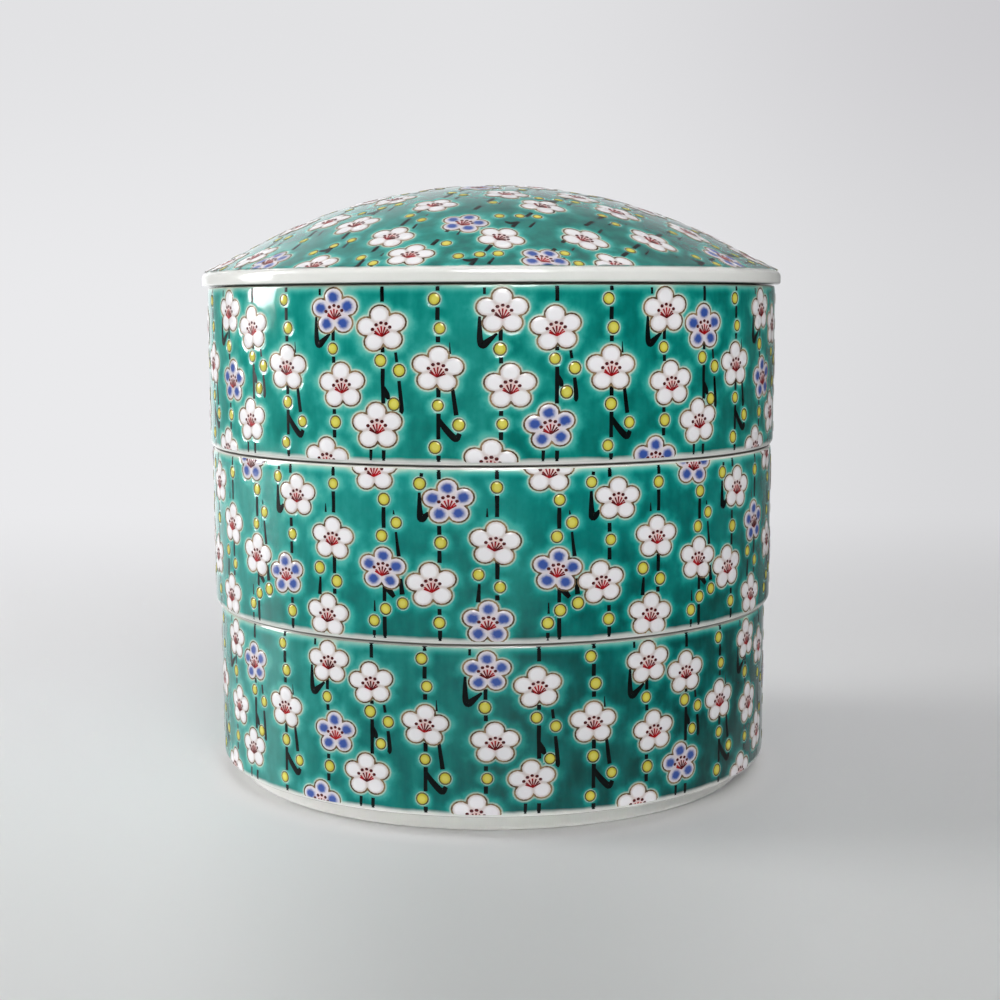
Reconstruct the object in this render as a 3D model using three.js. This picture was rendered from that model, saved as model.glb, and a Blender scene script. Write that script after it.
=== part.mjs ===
// A round three-tier stacking food box in painted porcelain: three trays and a domed lid.
// Each piece is a white porcelain shell with a coat of green enamel fired onto its outside.
// Millimetres, +Z up. The origin is the centre of the circle that the bottom tray stands on.

import * as THREE from 'three';

// Trays: the outside radius of the bottom tray's painted wall, how far each tray above stands out
// past the one under it, then what all three share.
const bottomTierRadius = 78.6;
const middleTierStep = 1.4;
const topTierStep = 0.5;
const wallHeight = 44.0;
const wallThickness = 4.2;
const floorThickness = 4.5;
const floorFillet = 3.0;

// The foot ring under a tray drops into the mouth of the tray below.
const footHeight = 5.0;
const footWidth = 5.5;
const footRecess = 2.0;
const footRound = 0.6;

// The lid: a crown that runs out into a straight brim, a bare edge band and a locating collar.
const lidOverhang = 1.5;
const lidThickness = 4.2;
const bandHeight = 3.5;
const bandRound = 0.8;
const brimWidth = 18.4;
const brimSlope = THREE.MathUtils.degToRad(27);
const collarDepth = 5.0;
const collarWidth = 4.0;

// Fits: play of a foot ring or collar in a mouth, and the gap between a rim and what sits on it.
const plugClearance = 0.8;
const seatGap = 0.3;
const rimRound = 0.8;

// The enamel coat and the white porcelain that it leaves bare along each edge.
const enamelThickness = 0.4;
const enamelGap = 0.05;
const bareRim = 1.2;
const bareSeat = 1.6;
const bareBrim = 0.8;

// How finely round surfaces are faceted.
const facets = 60;
const roundSteps = 2;
const crownSteps = 7;

const tierPitch = wallHeight + seatGap;
const coatDepth = enamelThickness + enamelGap;
const middleTierRadius = bottomTierRadius + middleTierStep;
const topTierRadius = middleTierRadius + topTierStep;
const lidRadius = topTierRadius + lidOverhang;
const brimStart = lidRadius - brimWidth;
const crownRadius = brimStart / Math.sin(brimSlope);

const porcelain = new THREE.MeshStandardMaterial({ color: 0xf1efe9, roughness: 0.18, metalness: 0 });
const greenEnamel = new THREE.MeshStandardMaterial({ color: 0x0f8672, roughness: 0.12, metalness: 0 });

// The inside radius of a tray's mouth, and of what drops into it.
const mouthOf = (tierRadius) => tierRadius - coatDepth - wallThickness;
const plugFor = (tierRadius) => mouthOf(tierRadius) - plugClearance;

// Turns corners [radius, height, rounding] into outline points, with each rounding as a short curve.
function roundedOutline(corners) {
  const at = corners.map(([r, z]) => new THREE.Vector2(r, z));
  return corners.flatMap(([, , rounding = 0], i) => {
    if (!rounding) return [at[i]];
    const towards = (other) => at[i].clone().add(other.clone().sub(at[i]).setLength(rounding));
    const curve = new THREE.QuadraticBezierCurve(towards(at[i - 1]), at[i], towards(at[i + 1]));
    return curve.getPoints(roundSteps);
  });
}

// Spins an outline about the Z axis. It runs along the underside, up the outside and back over the top.
function turned(name, outline, material) {
  const geometry = new THREE.LatheGeometry(outline, facets).rotateX(Math.PI / 2);
  const mesh = new THREE.Mesh(geometry, material);
  mesh.name = name;
  return mesh;
}

// A tray's porcelain, with its foot on height 0.
function trayOutline(tierRadius, footRadius) {
  const shell = tierRadius - coatDepth;
  const mouth = mouthOf(tierRadius);
  const rim = footHeight + wallHeight;
  const floorTop = footRecess + floorThickness;
  return roundedOutline([
    [0, footRecess],
    [footRadius - footWidth, footRecess],
    [footRadius - footWidth, 0],
    [footRadius, 0, footRound],
    [footRadius, footHeight],
    [shell, footHeight, rimRound],
    [shell, rim, rimRound],
    [mouth, rim, rimRound],
    [mouth, floorTop, floorFillet],
    [0, floorTop],
  ]);
}

// A tray's enamel: a thin sleeve on the wall, closed on itself.
function trayCoatOutline(tierRadius) {
  const inside = tierRadius - enamelThickness;
  const low = footHeight + bareSeat;
  const high = footHeight + wallHeight - bareRim;
  return roundedOutline([
    [inside, low],
    [tierRadius, low],
    [tierRadius, high],
    [inside, high],
    [inside, low],
  ]);
}

// The brim's height at a radius, on a surface that lies a depth below the lid's painted outside.
// The lid's own height 0 is the underside of its edge band.
const brimHeight = (radius, depth) =>
  bandHeight + (lidRadius - radius) * Math.tan(brimSlope) - depth / Math.cos(brimSlope);

// Corners of the dome on such a surface, from the axis along the crown and the brim to an edge radius.
function domeCorners(depth, edge) {
  const centre = brimHeight(brimStart, 0) - crownRadius * Math.cos(brimSlope);
  const radius = crownRadius - depth;
  const sweep = Math.min(brimSlope, Math.asin(edge / radius));
  const top = Math.PI / 2;
  const crown = new THREE.EllipseCurve(0, centre, radius, radius, top, top - sweep, true);
  const corners = crown.getPoints(crownSteps).map(({ x, y }) => [x, y]);
  return sweep < brimSlope ? corners : [...corners, [edge, brimHeight(edge, depth)]];
}

// The lid's porcelain: inside of the dome, collar, underside, edge band and outside of the dome.
function lidOutline() {
  const collar = plugFor(topTierRadius);
  const collarInside = collar - collarWidth;
  const outside = domeCorners(coatDepth, lidRadius);
  const bandTop = outside.pop();
  return roundedOutline([
    ...domeCorners(lidThickness, collarInside),
    [collarInside, -collarDepth],
    [collar, -collarDepth, footRound],
    [collar, 0],
    [lidRadius, 0, bandRound],
    [...bandTop, bandRound],
    ...outside.reverse(),
  ]);
}

// The lid's enamel: a thin cap over the crown and the brim.
function lidCoatOutline() {
  const edge = lidRadius - bareBrim;
  return roundedOutline([...domeCorners(enamelThickness, edge), ...domeCorners(0, edge).reverse()]);
}

function makeTray(name, tierRadius, footRadius) {
  const tray = new THREE.Group();
  tray.add(turned(name, trayOutline(tierRadius, footRadius), porcelain));
  tray.add(turned(`${name}_enamel`, trayCoatOutline(tierRadius), greenEnamel));
  return tray;
}

function makeLid() {
  const lid = new THREE.Group();
  lid.add(turned('lid', lidOutline(), porcelain));
  lid.add(turned('lid_enamel', lidCoatOutline(), greenEnamel));
  return lid;
}

// The trays from the bottom up. The bottom tray's foot would fit a tray of its own size.
const tiers = [
  { name: 'bottom_tier', radius: bottomTierRadius, below: bottomTierRadius },
  { name: 'middle_tier', radius: middleTierRadius, below: bottomTierRadius },
  { name: 'top_tier', radius: topTierRadius, below: middleTierRadius },
];

const stackedBox = new THREE.Group();
tiers.forEach(({ name, radius, below }, level) => {
  const tray = makeTray(name, radius, plugFor(below));
  tray.position.z = level * tierPitch;
  stackedBox.add(tray);
});

const lid = makeLid();
lid.position.z = footHeight + tiers.length * tierPitch;
stackedBox.add(lid);

export default stackedBox;
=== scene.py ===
"""A round three-tier stacking food box in painted porcelain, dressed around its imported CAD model."""

import logging
import math
from collections.abc import Sequence
from dataclasses import dataclass, field, replace
from enum import Enum
from typing import Any

import bmesh
import bpy
import numpy as np
from mathutils import Matrix, Vector


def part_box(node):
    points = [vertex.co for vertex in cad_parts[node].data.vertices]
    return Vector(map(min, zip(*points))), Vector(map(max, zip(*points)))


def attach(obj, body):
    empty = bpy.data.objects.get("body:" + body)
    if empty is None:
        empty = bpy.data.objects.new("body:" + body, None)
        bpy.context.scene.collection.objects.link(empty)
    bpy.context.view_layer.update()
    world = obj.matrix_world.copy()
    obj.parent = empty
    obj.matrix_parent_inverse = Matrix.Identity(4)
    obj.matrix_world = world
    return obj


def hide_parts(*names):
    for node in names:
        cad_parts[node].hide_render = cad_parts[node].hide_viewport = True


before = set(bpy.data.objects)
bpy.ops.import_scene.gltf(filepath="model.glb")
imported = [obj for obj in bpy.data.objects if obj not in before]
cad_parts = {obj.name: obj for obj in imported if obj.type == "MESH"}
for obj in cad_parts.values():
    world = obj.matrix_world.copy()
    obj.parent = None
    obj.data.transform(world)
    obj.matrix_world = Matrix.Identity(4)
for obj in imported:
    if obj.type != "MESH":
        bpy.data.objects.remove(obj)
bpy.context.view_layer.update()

# Sizes of the box are in millimetres here. The frame, the camera and the studio are in metres.
MM = 0.001
TURN = 2.0 * math.pi
TINY = 1e-6

# How finely the pieces are meshed.
SHELL_SEGMENTS = 288
COAT_SEGMENTS = 1008
COAT_STEP = 0.5
DOME_SEGMENTS = 640
DOME_STEP = 0.64
ROUND_STEPS = 8
STROKE_STEPS = 4

# How far motifs reach under the enamel that they sit on, how deep the enamel lies on the porcelain,
# and where the porcelain's own surface and the enamel's underside are below the enamel's face.
SINK = 0.02
COAT = 0.32
COAT_UNDER = 0.37
SHELL_INSET = 0.35

# The enamel's edges roll in by this many steps of this many degrees.
BEND_STEPS = 7
BEND_ANGLE = 12.0

# How near a seat's own height the porcelain is unglazed and painted darker as seam shade, and how much of a
# foot or collar is measured.
SEAT_DEPTH = 0.2
PLUG_BAND = 2.0

# How far a brush stroke falls from its middle to its sides, and how wide a bud's halo is for a blossom's 1.
RIDGE = 0.035
BUD_HALO = 0.7

# How near each other points are welded, and how near a cut they count as on it, in metres.
WELD_REACH = 2e-6
CUT_REACH = 1e-7

# How the painter's hand varies: a blossom's tilt in degrees, and shares of a blossom's and a bud's size.
HAND_TILT = 7.0
HAND_BLOSSOM = 0.025
HAND_BUD = 0.06

# A range holds where a ramp starts and ends, and its results there.
Point = tuple[float, float]
Place = tuple[float, float, float]
Spot = tuple[float, float, float, float]
Range = tuple[float, float, float, float]
Colour = tuple[float, float, float, float]
Face = tuple[int, ...]
Stroke = tuple[Place, ...]
Feed = Any
Socket = bpy.types.NodeSocket
Thing = bpy.types.Object

log = logging.getLogger("stacking_box")


def paint(red: int, green: int, blue: int) -> Colour:
    """Turns a colour as read off a screen into the linear colour that a shader takes.

    Args:
        red: Red from 0 to 255.
        green: Green from 0 to 255.
        blue: Blue from 0 to 255.

    Returns:
        The linear colour with full alpha.
    """
    shares = [value / 255.0 for value in (red, green, blue)]
    linear = [s / 12.92 if s <= 0.04045 else ((s + 0.055) / 1.055) ** 2.4 for s in shares]
    return (linear[0], linear[1], linear[2], 1.0)


def wobble(*counts: float) -> float:
    """A fixed number from -1 to 1 for a set of counts, so that repeated motifs differ a little."""
    return math.sin(sum((12.9898 + 65.45 * i) * c for i, c in enumerate(counts, 1)) + 0.7)


# Node trees


class NodeSketch:
    """Adds nodes to a tree and links them, so that each tree reads as a short list of steps."""

    def __init__(self, tree: bpy.types.NodeTree) -> None:
        """Takes the tree to draw in."""
        self.tree = tree

    def feed(self, socket: Socket, value: Feed) -> None:
        """Links a socket into an input, or sets the input's own value."""
        if isinstance(value, Socket):
            self.tree.links.new(value, socket)
        else:
            socket.default_value = value

    def add(self, kind: str, feeds: dict[str, Feed] | None = None, **settings: Any) -> bpy.types.Node:
        """Adds one node.

        Args:
            kind: The node's type.
            feeds: Values or sockets for its inputs, by the input's name.
            settings: The node's own properties.

        Returns:
            The new node.
        """
        node = self.tree.nodes.new(kind)
        for key, value in settings.items():
            setattr(node, key, value)
        for key, value in (feeds or {}).items():
            socket = next(s for s in node.inputs if s.name == key and s.enabled)
            self.feed(socket, value)
        return node

    def math(self, operation: str, *values: Feed) -> Socket:
        """Adds a Math node.

        Args:
            operation: What it does, such as ADD.
            values: A value or socket for each of its inputs.

        Returns:
            Its output.
        """
        node = self.add("ShaderNodeMath", operation=operation)
        for socket, value in zip(node.inputs, values):
            self.feed(socket, value)
        return node.outputs[0]

    def ramp(self, value: Feed, low: float, high: float, start: Feed, end: Feed) -> Socket:
        """Runs smoothly from one number to another as a value crosses a range.

        Args:
            value: The value.
            low: Where the range starts.
            high: Where the range ends.
            start: The result at and below the start.
            end: The result at and above the end.

        Returns:
            The result.
        """
        feeds = {"Value": value, "From Min": low, "From Max": high, "To Min": start, "To Max": end}
        node = self.add("ShaderNodeMapRange", feeds, interpolation_type="SMOOTHSTEP")
        return node.outputs["Result"]

    def vary(self, value: Feed, low: float, high: float, share: float) -> Socket:
        """Runs from a share below 1 to the same share above it as a value crosses a range."""
        return self.ramp(value, low, high, 1.0 - share, 1.0 + share)

    def mix(self, share: Feed, first: Feed, second: Feed) -> Socket:
        """Mixes two colours.

        Args:
            share: How much of the second colour shows.
            first: The first colour.
            second: The second colour.

        Returns:
            The mixed colour.
        """
        node = self.add("ShaderNodeMix", data_type="RGBA")
        self.feed(node.inputs[0], share)
        self.feed(node.inputs[6], first)
        self.feed(node.inputs[7], second)
        return node.outputs[2]

    def value_of(self, attribute: str) -> Socket:
        """Reads a number that the mesh carries at each point."""
        return self.add("ShaderNodeAttribute", attribute_name=attribute).outputs["Fac"]

    def noise(self, scale: float, detail: float, upright: float = 1.0) -> Socket:
        """Adds soft noise over the piece's own coordinates.

        Args:
            scale: Waves in each metre.
            detail: How many finer layers it has.
            upright: How many waves there are up the piece for each one across it.

        Returns:
            Its height from 0 to 1.
        """
        place = self.add("ShaderNodeTexCoord").outputs["Object"]
        if upright != 1.0:
            feeds = {"Vector": place, "Scale": (1.0, 1.0, upright)}
            place = self.add("ShaderNodeMapping", feeds).outputs["Vector"]
        feeds = {"Vector": place, "Scale": scale, "Detail": detail}
        return self.add("ShaderNodeTexNoise", feeds).outputs["Fac"]

    def stray(self, scale: float, detail: float, size: float) -> Socket:
        """Soft noise about zero, as tall as a size from its lowest to its highest."""
        return self.math("MULTIPLY", self.math("SUBTRACT", self.noise(scale, detail), 0.5), size)


# Finishes


@dataclass(frozen=True)
class Glaze:
    """A fired glossy finish: its record slot, its gloss and how its surface ripples."""

    name: str
    slot: str
    gloss_low: float = 0.05
    gloss_high: float = 0.13
    ior: float = 1.46
    ripple: float = 0.03
    ripple_scale: float = 160.0
    gloss_noise: Point = (90.0, 3.0)
    gloss_span: Point = (0.3, 0.7)

    def colour(self, sketch: NodeSketch) -> Feed:
        """The colour's last node output, which each finish draws for itself."""
        raise NotImplementedError(self.name)

    def relief(self, sketch: NodeSketch) -> Feed:
        """The height of the surface's fine ripple, in millimetres."""
        return sketch.math("MULTIPLY", sketch.noise(self.ripple_scale, 1.0), self.ripple)

    def material(self) -> bpy.types.Material:
        """Makes the material on first use.

        Returns:
            The material.
        """
        found = bpy.data.materials.get(self.name)
        if found is not None:
            return found
        material = bpy.data.materials.new(self.name)
        material.use_nodes = True
        sketch = NodeSketch(material.node_tree)
        shader = material.node_tree.nodes["Principled BSDF"]
        shader.inputs["IOR"].default_value = self.ior
        sketch.feed(shader.inputs["Base Color"], self.colour(sketch))
        gloss = sketch.noise(*self.gloss_noise)
        gloss = sketch.ramp(gloss, *self.gloss_span, self.gloss_low, self.gloss_high)
        sketch.feed(shader.inputs["Roughness"], gloss)
        feeds = {"Strength": 1.0, "Distance": MM, "Height": self.relief(sketch)}
        bump = sketch.add("ShaderNodeBump", feeds)
        sketch.feed(shader.inputs["Normal"], bump.outputs["Normal"])
        return material


@dataclass(frozen=True)
class PorcelainGlaze(Glaze):
    """Clear glaze over white porcelain, a little warmer in places, with unglazed seats painted darker as
    seam shade.
    """

    white: Colour = paint(233, 233, 229)
    warm: Colour = paint(228, 229, 224)
    # Unglazed clay at the seats, painted darker than bare clay as the shade in the seams between pieces.
    raw: Colour = paint(158, 154, 147)
    cloud_noise: Point = (28.0, 3.0)
    cloud_range: Range = (0.35, 0.7, 0.0, 1.0)

    def colour(self, sketch: NodeSketch) -> Feed:
        """White that drifts towards a warmer white, and unglazed clay where pieces sit on each other,
        painted darker as shade in the seams.

        Args:
            sketch: Where to draw.

        Returns:
            The colour.
        """
        cloud = sketch.ramp(sketch.noise(*self.cloud_noise), *self.cloud_range)
        glazed = sketch.mix(cloud, self.white, self.warm)
        return sketch.mix(sketch.value_of("raw"), glazed, self.raw)


@dataclass(frozen=True)
class GreenEnamel(Glaze):
    """Green glass over cream, deep in the open and thin round each motif and along its edges, and drawn
    deeper to the right and towards each tier's foot as painted shade.
    """

    gloss_low: float = 0.04
    gloss_high: float = 0.09
    ior: float = 1.32
    ripple: float = 0.045
    ripple_scale: float = 150.0
    deep: Colour = paint(14, 124, 115)
    bare: Colour = paint(226, 224, 208)
    hem: Colour = paint(228, 228, 223)
    thinning: float = 0.64
    fade: float = 0.677
    ring: float = 0.58
    ring_span: Point = (0.10, 0.50)
    swell: float = 0.12
    swell_reach: float = 0.9
    patchy: float = 0.22
    brushed: float = 0.12
    noise_span: Point = (0.2, 0.8)
    pool_noise: Point = (120.0, 4.0)
    brush_noise: Place = (330.0, 3.0, 0.25)
    halo_noise: Point = (230.0, 4.0)
    # Painted shade: the glass is drawn thicker, so darker, to the right and thinner, so paler, to the left,
    # by this share either way over this reach in metres.
    halo_range: Range = (0.3, 0.7, 0.65, 1.45)
    side_shade: float = 0.12
    side_shade_reach: float = 0.08
    # Painted shade: the glass is drawn thicker, so darker, towards a tier's foot and thinner towards its
    # rim, by this share either way over this height in millimetres.
    sag: float = 0.05
    lower_shade_height: float = 40.0
    rim_range: Range = (0.0, 2.6, 0.14, 1.0)
    rim_bare: Range = (0.0, 0.3, 0.9, 0.0)
    hem_stray: Place = (160.0, 2.0, 0.9)
    hem_range: Range = (0.1, 1.4, 0.95, 0.0)

    def thickness(self, sketch: NodeSketch) -> Socket:
        """How thick the glass lies, where 1 is its usual depth in the open, drawn thicker to the right and
        towards a tier's foot as painted shade.

        Args:
            sketch: Where to draw.

        Returns:
            The thickness.
        """
        reach = sketch.ramp(sketch.noise(*self.halo_noise), *self.halo_range)
        away = sketch.math("MULTIPLY", sketch.value_of("halo"), reach)
        near = sketch.math("POWER", self.fade, sketch.math("MULTIPLY", away, away))
        depth = sketch.math("SUBTRACT", 1.0, sketch.math("MULTIPLY", near, self.thinning))
        place = sketch.add("ShaderNodeTexCoord").outputs["Object"]
        aside = sketch.add("ShaderNodeSeparateXYZ", {"Vector": place}).outputs["X"]
        shares = (
            sketch.vary(sketch.noise(*self.pool_noise), *self.noise_span, self.patchy),
            sketch.vary(sketch.noise(*self.brush_noise), *self.noise_span, self.brushed),
            sketch.ramp(sketch.value_of("rim_gap"), *self.rim_range),
            # Painted shade to the right and painted light to the left, by the place across the piece.
            sketch.vary(aside, -self.side_shade_reach, self.side_shade_reach, self.side_shade),
            # Painted shade towards the foot of each tier.
            sketch.vary(sketch.value_of("seat_gap"), 0.0, self.lower_shade_height, -self.sag),
        )
        for share in shares:
            depth = sketch.math("MULTIPLY", depth, share)
        return depth

    def colour(self, sketch: NodeSketch) -> Feed:
        """Cream seen through the glass, and bare cream at motifs and at the edges.

        Args:
            sketch: Where to draw.

        Returns:
            The colour.
        """
        depth = self.thickness(sketch)
        tones = [
            sketch.math("MULTIPLY", sketch.math("POWER", full / clear, depth), clear)
            for full, clear in zip(self.deep[:3], self.bare[:3])
        ]
        feeds = dict(zip(("Red", "Green", "Blue"), tones))
        glass = sketch.add("ShaderNodeCombineColor", feeds).outputs["Color"]
        ring = sketch.ramp(sketch.value_of("halo"), *self.ring_span, self.ring, 0.0)
        body = sketch.mix(ring, glass, self.bare)
        body = sketch.mix(sketch.ramp(sketch.value_of("rim_gap"), *self.rim_bare), body, self.bare)
        seat = sketch.math("ADD", sketch.value_of("seat_gap"), sketch.stray(*self.hem_stray))
        return sketch.mix(sketch.ramp(seat, *self.hem_range), body, self.hem)

    def relief(self, sketch: NodeSketch) -> Feed:
        """The enamel's ripple, and the slope where it stands round each motif, in millimetres."""
        slope = sketch.ramp(sketch.value_of("halo"), 0.0, self.swell_reach, 0.0, self.swell)
        return sketch.math("ADD", super().relief(sketch), slope)


@dataclass(frozen=True)
class PetalEnamel(Glaze):
    """Thick petal enamel, with a spot of colour on each petal or plain white."""

    body: Colour = paint(240, 238, 240)
    # The margin tone is partly the enamel's own tint and partly painted shade at each petal's rounded edge.
    margin: Colour = paint(200, 186, 180)
    heart: Colour = paint(240, 196, 190)
    spot: Colour = paint(240, 238, 240)
    spot_edge: float = 0.8
    spot_blur: float = 0.3
    margin_start: float = 0.62
    margin_share: float = 0.72
    heart_range: Range = (0.4, 2.8, 0.5, 0.0)
    grain: Point = (700.0, 2.0)
    stain: float = 0.16

    def colour(self, sketch: NodeSketch) -> Feed:
        """A spot on each petal, margins greyer partly in tint and partly as painted shade, and a pink
        heart.

        Args:
            sketch: Where to draw.

        Returns:
            The colour.
        """
        brushed = sketch.math("ADD", sketch.value_of("rim"), sketch.stray(*self.grain, self.stain))
        # Margins: partly the enamel's tint, partly painted shade of the rounded edge.
        margin = sketch.ramp(brushed, self.margin_start, 1.0, 0.0, self.margin_share)
        petal = sketch.mix(margin, self.body, self.margin)
        spot = sketch.ramp(brushed, self.spot_edge - self.spot_blur, self.spot_edge, 1.0, 0.0)
        petal = sketch.mix(spot, petal, self.spot)
        heart = sketch.ramp(sketch.value_of("heart"), *self.heart_range)
        return sketch.mix(heart, petal, self.heart)


@dataclass(frozen=True)
class BudEnamel(Glaze):
    """Yellow-green bud enamel, darker towards its rim."""

    crown: Colour = paint(216, 209, 94)
    skirt: Colour = paint(197, 187, 57)
    stain: Place = (500.0, 2.0, 0.4)
    skirt_range: Range = (0.35, 1.0, 0.0, 1.0)

    def colour(self, sketch: NodeSketch) -> Feed:
        """Yellow-green that deepens towards the rim."""
        rim = sketch.math("ADD", sketch.value_of("rim"), sketch.stray(*self.stain))
        return sketch.mix(sketch.ramp(rim, *self.skirt_range), self.crown, self.skirt)


@dataclass(frozen=True)
class LinePaint(Glaze):
    """A drawn line whose paint lies thicker in some places than in others."""

    thick: Colour = paint(20, 20, 20)
    thin: Colour = paint(40, 40, 40)
    grain: Point = (420.0, 2.0)
    flow_range: Range = (0.35, 0.65, 0.0, 1.0)

    def colour(self, sketch: NodeSketch) -> Feed:
        """The line's two tones, mixed along it, with the darker one on marked points.

        Args:
            sketch: Where to draw.

        Returns:
            The colour.
        """
        flow = sketch.ramp(sketch.noise(*self.grain), *self.flow_range)
        kept = sketch.math("MULTIPLY", flow, sketch.ramp(sketch.value_of("dark"), 0.0, 1.0, 1.0, 0.0))
        return sketch.mix(kept, self.thick, self.thin)


PORCELAIN = PorcelainGlaze("porcelain_glaze", "porcelain", 0.08, 0.17, 1.42, 0.02, 70.0)
# Painted shade: the deep green of each tier is darker than that of the tier above, standing in for less
# light lower down.
TOP_ENAMEL = GreenEnamel("top_green_glaze", "green_enamel", deep=paint(11, 128, 118), side_shade=0.22)
MIDDLE_ENAMEL = GreenEnamel(
    "middle_green_glaze",
    "green_enamel",
    deep=paint(4, 119, 112),
    thinning=0.58,
    ring=0.52,
    patchy=0.2,
    side_shade=0.25,
    sag=0.17,
)
BOTTOM_ENAMEL = GreenEnamel(
    "bottom_green_glaze",
    "green_enamel",
    deep=paint(3, 102, 97),
    thinning=0.57,
    ring=0.46,
    patchy=0.16,
    side_shade=0.36,
    sag=0.06,
)
LID_ENAMEL = GreenEnamel("lid_green_glaze", "green_enamel", deep=paint(6, 118, 110), side_shade=0.14, sag=0.0)
WHITE_PETAL = PetalEnamel("white_petal_enamel", "white_enamel", 0.2, 0.32, 1.3)
BLUE_PETAL = PetalEnamel(
    "blue_petal_enamel",
    "blue_enamel",
    0.1,
    0.18,
    1.38,
    margin=paint(212, 203, 206),
    body=paint(230, 226, 232),
    spot=paint(57, 85, 160),
    spot_edge=0.90,
    spot_blur=0.52,
    margin_share=0.75,
    stain=0.3,
)
BUD = BudEnamel("bud_enamel", "yellow_enamel", 0.12, 0.2, 1.38)

# Line paints: gloss from low to high, then how strongly they mirror, then their two tones.
STAMEN = LinePaint(
    "stamen_red", "red_enamel", 0.3, 0.42, 1.25, thick=paint(80, 4, 10), thin=paint(172, 12, 24)
)
OUTLINE = LinePaint(
    "petal_outline", "brown_line", 0.22, 0.32, 1.28, thick=paint(82, 62, 40), thin=paint(150, 124, 90)
)
BUD_LINE = LinePaint(
    "bud_outline", "brown_line", 0.22, 0.32, 1.28, thick=paint(66, 64, 34), thin=paint(108, 100, 58)
)
BRANCH = LinePaint(
    "branch_black", "black_line", 0.25, 0.35, 1.2, thick=paint(0, 5, 6), thin=paint(2, 12, 12)
)


# Meshes


def mesh_object(
    name: str,
    points: Sequence[Sequence[float]],
    faces: Sequence[Sequence[int]],
    values: dict[str, Sequence[float]],
) -> Thing:
    """Makes a smooth mesh object at the origin.

    Args:
        name: The object's name.
        points: Its points in metres.
        faces: Its faces as runs of point numbers.
        values: Numbers to carry at each point, by name.

    Returns:
        The object, in the scene.
    """
    mesh = bpy.data.meshes.new(name)
    mesh.from_pydata([tuple(p) for p in points], [], [tuple(f) for f in faces])
    for key, numbers in values.items():
        mesh.attributes.new(key, "FLOAT", "POINT").data.foreach_set("value", list(numbers))
    mesh.shade_smooth()
    made = bpy.data.objects.new(name, mesh)
    bpy.context.scene.collection.objects.link(made)
    return made


def rounded(corners: Sequence[tuple[float, float, float]]) -> list[Point]:
    """Rounds the corners of an outline with true arcs.

    Args:
        corners: Radius, height and rounding of each corner.

    Returns:
        The outline's points.
    """
    outline: list[Point] = []
    for i, (radius, height, rounding) in enumerate(corners):
        corner = Vector((radius, height))
        if rounding <= 0.0:
            outline.append((radius, height))
            continue
        back = (Vector(corners[i - 1][:2]) - corner).normalized()
        ahead = (Vector(corners[i + 1][:2]) - corner).normalized()
        half = back.angle(ahead) / 2.0
        centre = corner + (back + ahead).normalized() * rounding / math.sin(half)
        first = corner + back * rounding / math.tan(half) - centre
        last = corner + ahead * rounding / math.tan(half) - centre
        for step in range(ROUND_STEPS + 1):
            point = centre + first.slerp(last, step / ROUND_STEPS) * rounding
            outline.append((point.x, point.y))
    return outline


def turned(
    name: str,
    outline: Sequence[Point],
    segments: int,
    closed: bool,
    values: dict[str, Sequence[float]],
) -> Thing:
    """Spins an outline, which runs along the underside, up the outside and back over the top.

    Args:
        name: The object's name.
        outline: Radius and height of each point, in millimetres.
        segments: How many steps there are round the axis.
        closed: Whether the last point joins the first.
        values: Numbers to carry, one for each outline point, by name.

    Returns:
        The object, in the scene.
    """
    points: list[Place] = []
    rows: list[list[int]] = []
    angles = [TURN * k / segments for k in range(segments)]
    for radius, height in outline:
        spots = angles if radius > TINY else angles[:1]
        rows.append([len(points) + k for k in range(len(spots))])
        points += [(radius * math.sin(a) * MM, -radius * math.cos(a) * MM, height * MM) for a in spots]
    faces: list[Face] = []
    for low, high in zip(rows, rows[1:] + rows[:1] if closed else rows[1:]):
        for k in range(segments):
            n = (k + 1) % segments
            if len(low) == 1:
                faces.append((low[0], high[n], high[k]))
            elif len(high) == 1:
                faces.append((low[k], low[n], high[0]))
            else:
                faces.append((low[k], low[n], high[n], high[k]))
    spread = {
        key: [number for row, number in zip(rows, numbers) for _ in row]
        for key, numbers in values.items()
    }
    return mesh_object(name, points, faces, spread)


# Motif shapes


def grid(rows: int, columns: int) -> list[Face]:
    """Faces, turned to face up, of a grid whose rows run outwards and whose columns run clockwise."""
    return [
        (r * columns + k, r * columns + k + 1, (r + 1) * columns + k + 1, (r + 1) * columns + k)[::-1]
        for r in range(rows - 1)
        for k in range(columns - 1)
    ]


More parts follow.
